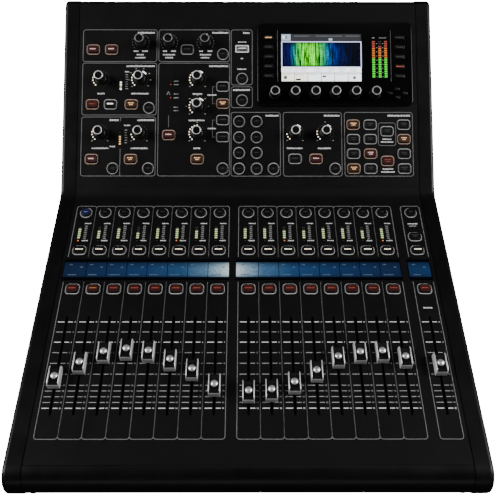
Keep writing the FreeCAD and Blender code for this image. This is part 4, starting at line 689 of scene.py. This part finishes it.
for x, t, a in NAVS:
    A = at(MU, x, t)
    rg = [[(p, q, -3.0) for p, q in rrect(0, 0, 7.2, 4.2, 1.5)], [(p, q, BR + 0.7) for p, q in rrect(0, 0, 7.2, 4.2, 1.5)],
          [(p, q, BR + 1.05) for p, q in rrect(0, 0, 6.8, 3.8, 1.3)], [(p, q, BR + 1.2) for p, q in rrect(0, 0, 6.0, 3.0, 1.0)]]
    dk.loft(A, rg, "knob_top", "knob_top", "knob_top")
    tri = [(-0.8, -0.9), (1.0, 0.0), (-0.8, 0.9)]
    dk.prism(at(MU, x, t, 0, radians(a)), tri, BR + 1.0, BR + 1.26, "legend_off")
o = dk.obj("display_keys", "key_plastic"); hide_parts("display_keys")

scr = Build("screen_picture")
zs = BR - 0.8 + 0.02
zt = zs + 0.03
scr.bar(MU, 43.0, 147.0, 145.6, 209.0, zs - 0.25, zs, "scr_dark")
Z = lambda k: (zs - 0.1, zs + 0.03 + 0.02 * k)
scr.bar(MU, 43.6, 55.5, 200.0, 208.6, *Z(1), "scr_tab")
scr.bar(MU, 45.2, 47.6, 203.4, 206.0, *Z(2), "scr_white")
scr.bar(MU, 49.0, 50.4, 202.6, 206.4, *Z(2), "scr_ink")
scr.bar(MU, 57.0, 147.0, 204.6, 208.2, *Z(1), "scr_bar")
words(scr, MU, 60.0, 80.0, 206.2, 1.6, "scr_grey", Z(2)[1], Z(2)[0])
words(scr, MU, 88.0, 122.0, 206.2, 1.6, "scr_grey", Z(2)[1], Z(2)[0])
words(scr, MU, 127.0, 145.0, 206.2, 1.6, "scr_grey", Z(2)[1], Z(2)[0])
for k in range(7):
    scr.bar(MU, 105.0 + 0.0, 109.6, 200.2, 203.2, *Z(1), "scr_tab") if k == 0 else None
scr.frame(MU, rrect(95.3, 181.7, 104.0, 34.8, 0.6, 3), rrect(95.3, 181.7, 101.6, 32.6, 0.3, 3), Z(2)[0], Z(2)[1], "scr_frame")
scr.quad_uv(MU, 44.6, 146.0, 165.6, 197.8, Z(1)[0], Z(1)[1], "scr_graph")
scr.bar(MU, 43.4, 146.9, 157.4, 164.6, *Z(1), "scr_white")
for (a, b_) in ((46, 58), (61, 66), (68, 77), (86, 96), (104, 112), (118, 126), (132, 142)):
    words(scr, MU, a, b_, 162.4, 1.0, "scr_ink", Z(2)[1], Z(2)[0], gap=0.7)
    words(scr, MU, a, b_ - 2, 159.6, 0.9, "scr_grey", Z(2)[1], Z(2)[0], gap=0.7)
edges = [43.4, 60.4, 77.6, 94.9, 112.2, 129.5, 146.9]
for k in range(6):
    scr.bar(MU, edges[k] + 0.35, edges[k + 1] - 0.35, 146.2, 156.5, *Z(1), "scr_cream" if k in (0, 1) else "scr_white")
scr.bar(MU, 62.0, 68.5, 147.2, 149.4, *Z(2), "scr_ink")
scr.bar(MU, 96.5, 101.0, 151.4, 153.4, *Z(2), "scr_ink")
for k in range(6):
    words(scr, MU, edges[k] + 2.0, edges[k] + 12.5, 154.6, 0.9, "scr_grey", Z(2)[1], Z(2)[0], gap=0.7)
scr.prism(at(MU, 48.6, 151.0), circle(0, 0, 2.4, 20), Z(2)[0], Z(2)[1], "scr_grey")
scr.prism(at(MU, 137.6, 150.8), circle(0, 0, 2.0, 20), Z(2)[0], Z(2)[1], "scr_grey")
scr.obj(BODY, "display_window", smooth=0)

# light bars of the display, printed dividers
dm = Build("display_light_bars")
for x, top in ((162.6, 199.0), (170.7, 193.5), (178.3, 199.0)):
    k = 0
    t = 150.9
    while t < 198.6:
        c = "lit_green" if t < 176.5 else ("lit_amber" if t < 188.5 else "lit_red")
        if t > top - 0.5:
            c = "led_off"
        dm.bar(MU, x - 1.85, x + 1.85, t, t + 1.25, BR + 0.02, BR + 0.16, c, 0.25)
        t += 2.35
line(dm, MU, 184.9, 146.0, 184.9, 213.5, 0.35, "ink_dim", BR + 0.05, BR + 0.0)
line(dm, MU, 38.4, 146.0, 38.4, 213.5, 0.35, "ink_dim", BR + 0.05, BR + 0.0)
for k, t in enumerate((151.5, 157, 162.5, 168, 173.5, 179, 184.5, 190, 195.5)):
    dm.bar(MU, 165.9, 167.6, t, t + 0.7, BR, BR + 0.05, "ink")
    dm.bar(MU, 173.7, 175.3, t, t + 0.7, BR, BR + 0.05, "ink")
for x, a, b_ in ((162.6, -1.8, 1.8), (174.5, -4.5, 4.5)):
    words(dm, MU, x + a, x + b_, 203.6, 1.2, "ink", BR + 0.05, BR)
dm.obj(BODY, "meter_lens", smooth=0)

# ------------------------------------------------------------------ channel displays
cdp = Build("channel_display_cells")
WIN = [(-216.0, -21.5, "lcd_one", 8), (-14.6, 179.4, "lcd_two", 8), (187.5, 214.2, "lcd_main", 1)]
z1 = 0.1
for a, b_, key, n in WIN:
    cdp.quad_uv(ML, a + 0.8, b_ - 0.8, -126.4, -105.8, z1 - 0.2, z1 + 0.03, key)
    xs = BANK1 if key == "lcd_one" else (BANK2 if key == "lcd_two" else [MAIN_X - 1.5])
    for i, x in enumerate(xs):
        g = random.Random(31 * i + n + (5 if key == "lcd_two" else 0))
        for (dx0, dx1, s, h) in ((-8.2, -4.2, 109.0, 1.8), (4.6, 7.4, 112.6, 2.2), (-8.6, 2.4 + g.uniform(-2, 2), 123.2, 1.9)):
            words(cdp, ML, x + dx0, x + dx1, -s, h * 0.8, "lcd_mark", z1 + 0.06, z1, seed=i * 3, gap=0.35)
        if i:
            cdp.bar(ML, x - PITCH / 2 - 0.35, x - PITCH / 2 + 0.35, -126.4, -105.8, z1, z1 + 0.045, "glass")
cdp.obj(BODY, "display_window", smooth=0)

# ------------------------------------------------------------------ strip meters and small meters
sm_ = Build("meter_segments")
LIT = [5, 4, 5, 3, 5, 5, 4, 5, 5, 5, 4, 4, 5, 5, 4, 5]
for i, x in enumerate(BANK1 + BANK2):
    for k in range(6):
        s = 69.6 - k * 3.05
        c = "lit_lime" if k < LIT[i] else "led_off"
        sm_.bar(ML, x - 3.8 - 1.6, x - 3.8 + 1.6, -s - 1.05, -s + 1.05, 0.18, 0.30, c, 0.3)
    sm_.prism(at(ML, x - 3.8, -74.2), circle(0, 0, 0.95, 14), 0.18, 0.30, "lit_amber" if i % 5 == 0 else "led_off")
for k in range(5):
    t = 135.4 + k * 2.95
    sm_.bar(MU, -165.2, -162.8, t, t + 1.9, 0.18, 0.30, "lit_white" if k < 4 and k != 1 else ("lit_lime" if k == 1 else "led_off"), 0.3)
for k in range(6):
    t = 63.4 + k * 3.1
    sm_.bar(MU, -165.2, -162.8, t, t + 1.9, 0.18, 0.30, "lit_orange" if k < 4 else "led_off", 0.3)
sm_.obj(BODY, "meter_lens", smooth=0)

# ------------------------------------------------------------------ knobs
KNOBS = [("knob_talk_level", -139.0, 198.7, "pot"), ("knob_monitor_level", -102.1, 198.7, "pot"), ("knob_phones_level", -55.1, 198.7, "pot"),
         ("knob_preamp_gain", -190.0, 150.0, "enc"), ("knob_low_cut", -139.7, 150.0, "enc"), ("knob_gate_threshold", -189.7, 78.5, "enc"),
         ("knob_dynamics_threshold", -139.5, 78.5, "enc"), ("knob_eq_width", -65.0, 150.0, "enc"), ("knob_eq_frequency", -65.0, 113.8, "enc"),
         ("knob_eq_gain", -65.0, 78.5, "enc"), ("knob_mono_level", 60.5, 79.0, "enc"), ("knob_pan", 99.4, 79.0, "enc")]
KNOBS += [("display_encoder_%d" % (i + 1), x, 128.7, "disp") for i, x in enumerate((34.7, 60.5, 86.3, 112.1, 137.6, 163.0))]


def knob_mesh(b, A, kind):
    R = 6.55
    def wob(k, a):
        if 4 <= k <= 8:
            f = 0.5 + 0.5 * cos(a * 24)
            return -0.34 * (1 - f) ** 1.5 if k < 8 else -0.12 * (1 - f)
        return 0.0
    prof = [(7.1, 1.0), (7.3, 1.25), (7.3, 2.7), (7.05, 3.1), (R + 0.1, 3.3), (R + 0.1, 4.0), (R, 9.0), (R - 0.1, 13.6), (R - 0.3, 14.4),
            (6.0, 14.95), (5.7, 15.3), (5.45, 15.5), (4.75, 15.5), (4.6, 15.35), (4.5, 15.05), (2.4, 14.95), (0.9, 14.8)]
    rim = "silver" if kind == "enc" else ("silver_matt" if kind == "disp" else "rim_dim")
    keys = ["knob"] * 10 + [rim, rim, rim, rim, "knob_top", "knob_top"]
    b.lathe(A, prof, keys, 144, wob, "knob", "knob_top")
    # shaft
    b.lathe(A, [(2.97, -9.0 if kind != "disp" else -12.4), (2.97, 1.05)], "steel", 24, None, "steel", "steel")
    if kind == "pot":
        b.prism(A @ Matrix.Rotation(radians(-35), 4, "Z"), [(-0.4, 4.3), (0.4, 4.3), (0.4, 6.0), (-0.4, 6.0)], 15.2, 15.58, "ink_white")


for nme, x, t, kd in KNOBS:
    b = Build(nme + "_cap")
    A = at(MU, x, t, BR if kd == "disp" else 0.0)
    knob_mesh(b, A, kd)
    o = b.obj(nme, "knob_plastic", smooth=40)
    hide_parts(nme)

# light collars round the encoders
lc = Build("encoder_light_rings")
COL = {"knob_preamp_gain": (4, None), "knob_low_cut": (5, (18, 52)), "knob_gate_threshold": (4, None), "knob_dynamics_threshold": (3, None), "knob_eq_width": (7, (10, 40)),
       "knob_eq_frequency": (6, (12, 45)), "knob_eq_gain": (8, None), "knob_mono_level": (3, (15, 45)), "knob_pan": (4, (15, 40))}
for nme, x, t, kd in KNOBS:
    if kd == "disp":
        continue
    if kd == "pot":
        # printed range arc of the level controls
        R1, R2 = 10.6, 11.2
        n = 26
        base = []
        for j in range(n):
            a0, a1 = radians(-135 + 270 * j / n), radians(-135 + 270 * (j + 1) / n)
            o = [(x + R1 * sin(a0), t + R1 * cos(a0)), (x + R1 * sin(a1), t + R1 * cos(a1)), (x + R2 * sin(a1), t + R2 * cos(a1)), (x + R2 * sin(a0), t + R2 * cos(a0))]
            if j % 2 == 0:
                lc.prism(MU, o, Z0, TOP, "ink_dim")
        continue
    lit, arc_ = COL[nme]
    for j in range(15):
        a = radians(-140 + 20 * j)
        px, pt_ = x + 10.4 * sin(a), t + 10.4 * cos(a)
        c = "lit_cream" if j < lit else "led_off"
        lc.prism(at(MU, px, pt_), circle(0, 0, 0.86, 14), Z0, 0.22, c, bevel=0.08)
    if arc_:
        n = 8
        for j in range(n):
            a0, a1 = radians(arc_[0] + (arc_[1] - arc_[0]) * j / n), radians(arc_[0] + (arc_[1] - arc_[0]) * (j + 0.85) / n)
            R1, R2 = 9.5, 11.2
            o = [(x + R1 * sin(a0), t + R1 * cos(a0)), (x + R1 * sin(a1), t + R1 * cos(a1)), (x + R2 * sin(a1), t + R2 * cos(a1)), (x + R2 * sin(a0), t + R2 * cos(a0))]
            lc.prism(MU, o[::-1], Z0, 0.24, "lit_white")
lc.obj(BODY, "meter_lens")

# ------------------------------------------------------------------ faders
FADER_S = [253.4, 237.4, 225.2, 221.8, 224.2, 234.1, 245.1, 262.3, 269.5, 268.1, 260.0, 246.9, 231.1, 225.8, 224.7, 231.2, 239.0]


def side_loft(b, A, prof, xs, key, end_key=None):
    """A side profile (y, z) swept along x through the stations xs = [(x, shrink)], closed at both ends."""
    cy = sum(p[0] for p in prof) / len(prof)
    cz = sum(p[1] for p in prof) / len(prof)
    rings = []
    for x, s in xs:
        rg = []
        for (y, z) in prof:
            dy, dz = y - cy, z - cz
            L = sqrt(dy * dy + dz * dz)
            k = (L - s) / L if L > 1e-6 else 1
            rg.append((y * 1.0 - dy * (1 - k), z - dz * (1 - k), x))
        rings.append(rg)
    # rings lie in (y, z) planes along x: rotate so that the loft axis is x
    R = Matrix(((0, 0, 1, 0), (1, 0, 0, 0), (0, 1, 0, 0), (0, 0, 0, 1)))
    b.loft(A @ R, rings, key, end_key or key, end_key or key)


def fader_mesh(b, A):
    H = 11.0
    # black body: sloped ends, shoulders and a finger dip
    top = []
    for j in range(17):
        y = 8.4 - 16.8 * j / 16
        z = 9.7 - 1.25 * (0.5 + 0.5 * cos(pi * y / 8.4)) ** 0.8
        top.append((y, z))
    prof = [(-11.1, 1.25), (11.3, 1.25), (11.45, 1.6), (11.2, 6.4), (10.3, 9.0), (9.4, 9.65)] + top + [(-9.4, 9.65), (-10.2, 9.0), (-11.0, 6.4), (-11.25, 1.6)]
    side_loft(b, A, prof, [(-5.3, 0.0), (-5.2, 0.0), (5.2, 0.0), (5.3, 0.0)], "cap")
    # silver side rails with a small outward flare at the foot
    rail = [(-11.45, 1.25), (11.45, 1.25), (11.5, 1.5), (11.2, 6.6), (10.5, 9.6), (9.6, 10.7), (8.8, 11.0), (-8.6, 11.0), (-9.5, 10.7), (-10.5, 9.6), (-11.2, 6.6), (-11.5, 1.5)]
    for sgn in (-1, 1):
        xs = [(5.28, 0.25), (5.42, 0.0), (6.02, 0.0), (6.18, 0.25)]
        if sgn < 0:
            xs = [(-a, s) for a, s in xs][::-1]
        side_loft(b, A, rail, xs, "silver")
    # satin front plate
    pl = [(-5.0, -11.5, 1.4), (5.0, -11.5, 1.4), (5.0, -11.0, 1.4), (-5.0, -11.0, 1.4)]
    plate = [[(x, y, 1.4) for x, y in ((-5.35, -11.5), (5.35, -11.5), (5.35, -11.0), (-5.35, -11.0))],
             [(x, y, 6.6) for x, y in ((-5.35, -11.3), (5.35, -11.3), (5.35, -10.7), (-5.35, -10.7))],
             [(x, y, 8.1) for x, y in ((-5.35, -10.85), (5.35, -10.85), (5.35, -10.3), (-5.35, -10.3))]]
    b.loft(A, plate, "silver_matt", "silver_matt", "silver_matt")
    # polished dome in its seat
    b.lathe(A, [(4.25, 8.1), (4.25, 8.75), (4.0, 8.95), (3.85, 8.8)], "cap", 40, None, "cap", None)
    dome = [(3.82 * cos(a), 8.62 + 2.3 * sin(a)) for a in [pi / 2 * j / 12 for j in range(12)]] + [(0.25, 10.92)]
    b.lathe(A, [(3.82, 8.3)] + dome, "chrome", 48, None, "chrome", "chrome")
    # lever blade
    b.bar(A, -0.6, 0.6, -2.5, 2.5, -12.0, 1.3, "steel")


for i, (x, s) in enumerate(zip(STRIPS, FADER_S)):
    nme = "fader_main" if i == 16 else "fader_%02d" % (i + 1)
    b = Build(nme + "_cap")
    fader_mesh(b, at(ML, x, -s))
    o = b.obj(nme, "fader_plastic", smooth=38)
    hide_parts(nme)

# ------------------------------------------------------------------ rear details
rd = Build("rear_details")
ROWX = [-188.0 + 33 * i for i in range(8)]
for v, male in ((150.0, False), (112.0, False), (66.0, True)):
    for i, x in enumerate(ROWX):
        A = at(MR, x, v)
        if male:
            for dx, dy in ((-4.9, 1.5), (4.9, 1.5), (0.0, -4.9)):
                rd.lathe(at(MR, x + dx, v + dy), [(1.26, -12.6), (1.26, -0.5), (1.0, 0.1), (0.45, 0.3)], "silver", 16, None, "silver", "silver")
        else:
            # release tab and contact sleeves
            rd.prism(A, rrect(0, 12.4, 7.0, 3.2, 1.0, 4), 1.9, 3.1, "silver", bevel=0.3)
            for dx, dy in ((-4.9, 1.5), (4.9, 1.5), (0.0, -4.9)):
                rd.frame(at(MR, x + dx, v + dy), circle(0, 0, 1.75, 18), circle(0, 0, 1.38, 18), 1.95, 2.12, "brass")
        for sx, sy in ((-9.8, 12.2), (9.8, -12.2)):
            rd.prism(at(MR, x + sx, v + sy), circle(0, 0, 1.7, 18), 1.95, 2.7, "steel", bevel=0.35)
        digits(rd, MR @ Matrix.Translation((x, v - 19.2, 0)), str(i + 1 + (8 if v == 112.0 else 0)), 0, 0, 2.6, "ink_white")
        rd.frame(A, rrect(0, 0, 19.6, 19.6, 9.7, 9), rrect(0, 0, 18.9, 18.9, 9.4, 9), 1.99, 2.05, "socket_insert")
for (x, v) in ((98.0, 130.0), (124.0, 130.0), (98.0, 100.0)):
    words(rd, MR, x - 6, x + 6, v - 12.5, 1.8, "ink_white")
    A = at(MR, x, v)
    if v == 130.0:
        for k in range(8):
            rd.bar(A, -3.9 + k * 1.02, -3.5 + k * 1.02, 2.6, 4.3, -9.0, -2.0, "brass")
words(rd, MR, 150.0, 182.0, 96.0, 2.0, "ink_white")
outline_box(rd, MR, -210.0, 63.0, 84.0, 176.0, 0.7, 4.0)
outline_box(rd, MR, -210.0, 63.0, 40.0, 82.0 - 0.6, 0.7, 4.0)
rd.obj(BODY, "metal_trim")

# USB tongue
ut = Build("usb_contacts")
ut.bar(MU, -7.4 - 5.4, -7.4 + 5.4, 190.1 + 0.1, 190.1 + 1.9, -10.0, -0.4, "ink_white")
for k in range(4):
    ut.bar(MU, -7.4 - 4.2 + k * 2.4, -7.4 - 3.2 + k * 2.4, 190.0, 190.15, -9.5, -0.8, "brass")
ut.obj(BODY, "metal_trim", smooth=0)

# mark on the mains switch, and the inlet's blades
rkm = Build("switch_mark")
RX, RV = 166.0, 75.0
rkm.bar(at(MR, RX + 4.6, RV), -0.35, 0.35, -2.0, 2.0, 1.72, 2.05, "ink_white")
rkm.frame(at(MR, RX - 4.4, RV), circle(0, 0, 2.0, 24), circle(0, 0, 1.4, 24), 3.35, 3.75, "ink_white")
rkm.obj("power_switch_rocker", "socket_plastic", smooth=0)
bl = Build("inlet_contacts")
for (x0, x1, y0, y1) in ((-8.1, -5.9, -13.1, -8.9), (5.9, 8.1, -13.1, -8.9), (-1.1, 1.1, -8.7, -4.5)):
    bl.bar(MR, RX + x0, RX + x1, RV - 15 + 0.0 + y0 - 0.0, RV - 15 + y1, -15.8, -1.9, "silver", 0.2)
bl.obj(BODY, "metal_trim", smooth=0)

# ------------------------------------------------------------------ floor, light, camera
fl = bpy.data.meshes.new("floor")
S = 14.0
fl.from_pydata([(-S, -S, -0.0002), (S, -S, -0.0002), (S, S, -0.0002), (-S, S, -0.0002)], [], [(0, 1, 2, 3)])
floor = bpy.data.objects.new("floor", fl)
bpy.context.scene.collection.objects.link(floor)
fm_, nt, b, tc = _nodes("floor_pale")
n1 = noise(nt, tc, 6.0, 3.0, 0.5)
r = ramp(nt, n1.outputs[0], [(0.3, (0.90, 0.90, 0.90)), (0.7, (0.93, 0.93, 0.93))])
nt.links.new(r.outputs[0], b.inputs["Base Color"])
b.inputs["Roughness"].default_value = 0.9
b.inputs["Specular IOR Level"].default_value = 0.1
b.inputs["Emission Color"].default_value = (1, 1, 1, 1)
b.inputs["Emission Strength"].default_value = 20.0
fl.materials.append(fm_)
floor.visible_diffuse = False
floor.visible_glossy = False

world = bpy.data.worlds.new("studio")
bpy.context.scene.world = world
world.use_nodes = True
bg = world.node_tree.nodes["Background"]
bg.inputs[0].default_value = (1.0, 1.0, 1.0, 1)
bg.inputs[1].default_value = 0.022


def area(name, loc, target, size, power, color=(1, 1, 1), size_y=None):
    L = bpy.data.lights.new(name, "AREA")
    L.energy = power
    L.color = color
    L.shape = "RECTANGLE"
    L.size = size
    L.size_y = size_y or size
    o = bpy.data.objects.new(name, L)
    bpy.context.scene.collection.objects.link(o)
    o.location = loc
    d = Vector(target) - Vector(loc)
    o.rotation_euler = d.to_track_quat("-Z", "Y").to_euler()
    return o


area("soft_left", (-2.5, -0.3, 1.75), (0, 0, 0.1), 1.3, 92)
area("soft_right", (2.5, -0.3, 1.75), (0, 0, 0.1), 1.3, 92)
area("soft_over", (0.15, 0.30, 2.6), (0.08, 0.1, 0.1), 1.2, 3.4, size_y=0.25)
area("soft_low", (0.0, -2.6, 0.55), (0, -0.3, 0.05), 2.6, 4.5, size_y=0.3)

cam_d = bpy.data.cameras.new("camera")
cam = bpy.data.objects.new("camera", cam_d)
bpy.context.scene.collection.objects.link(cam)
cam_d.sensor_fit = "HORIZONTAL"
cam_d.sensor_width = 36.0
cam_d.lens = 653.4485 / 497.0 * 36.0
cam_d.clip_start = 0.01
pitch, yaw, roll = radians(51.5616), radians(0.2285), radians(0.1712)
fwd = Vector((sin(yaw) * cos(pitch), cos(yaw) * cos(pitch), -sin(pitch)))
right = Vector((cos(yaw), -sin(yaw), 0))
up_ = right.cross(fwd)
Rv = right * cos(roll) + up_ * sin(roll)
Uv = up_ * cos(roll) - right * sin(roll)
cam.matrix_world = Matrix(((Rv.x, Uv.x, -fwd.x, -0.001235), (Rv.y, Uv.y, -fwd.y, mm(FOLD_Y - 571.565)), (Rv.z, Uv.z, -fwd.z, mm(FOLD_Z + 608.697)), (0, 0, 0, 1)))
bpy.context.scene.camera = cam
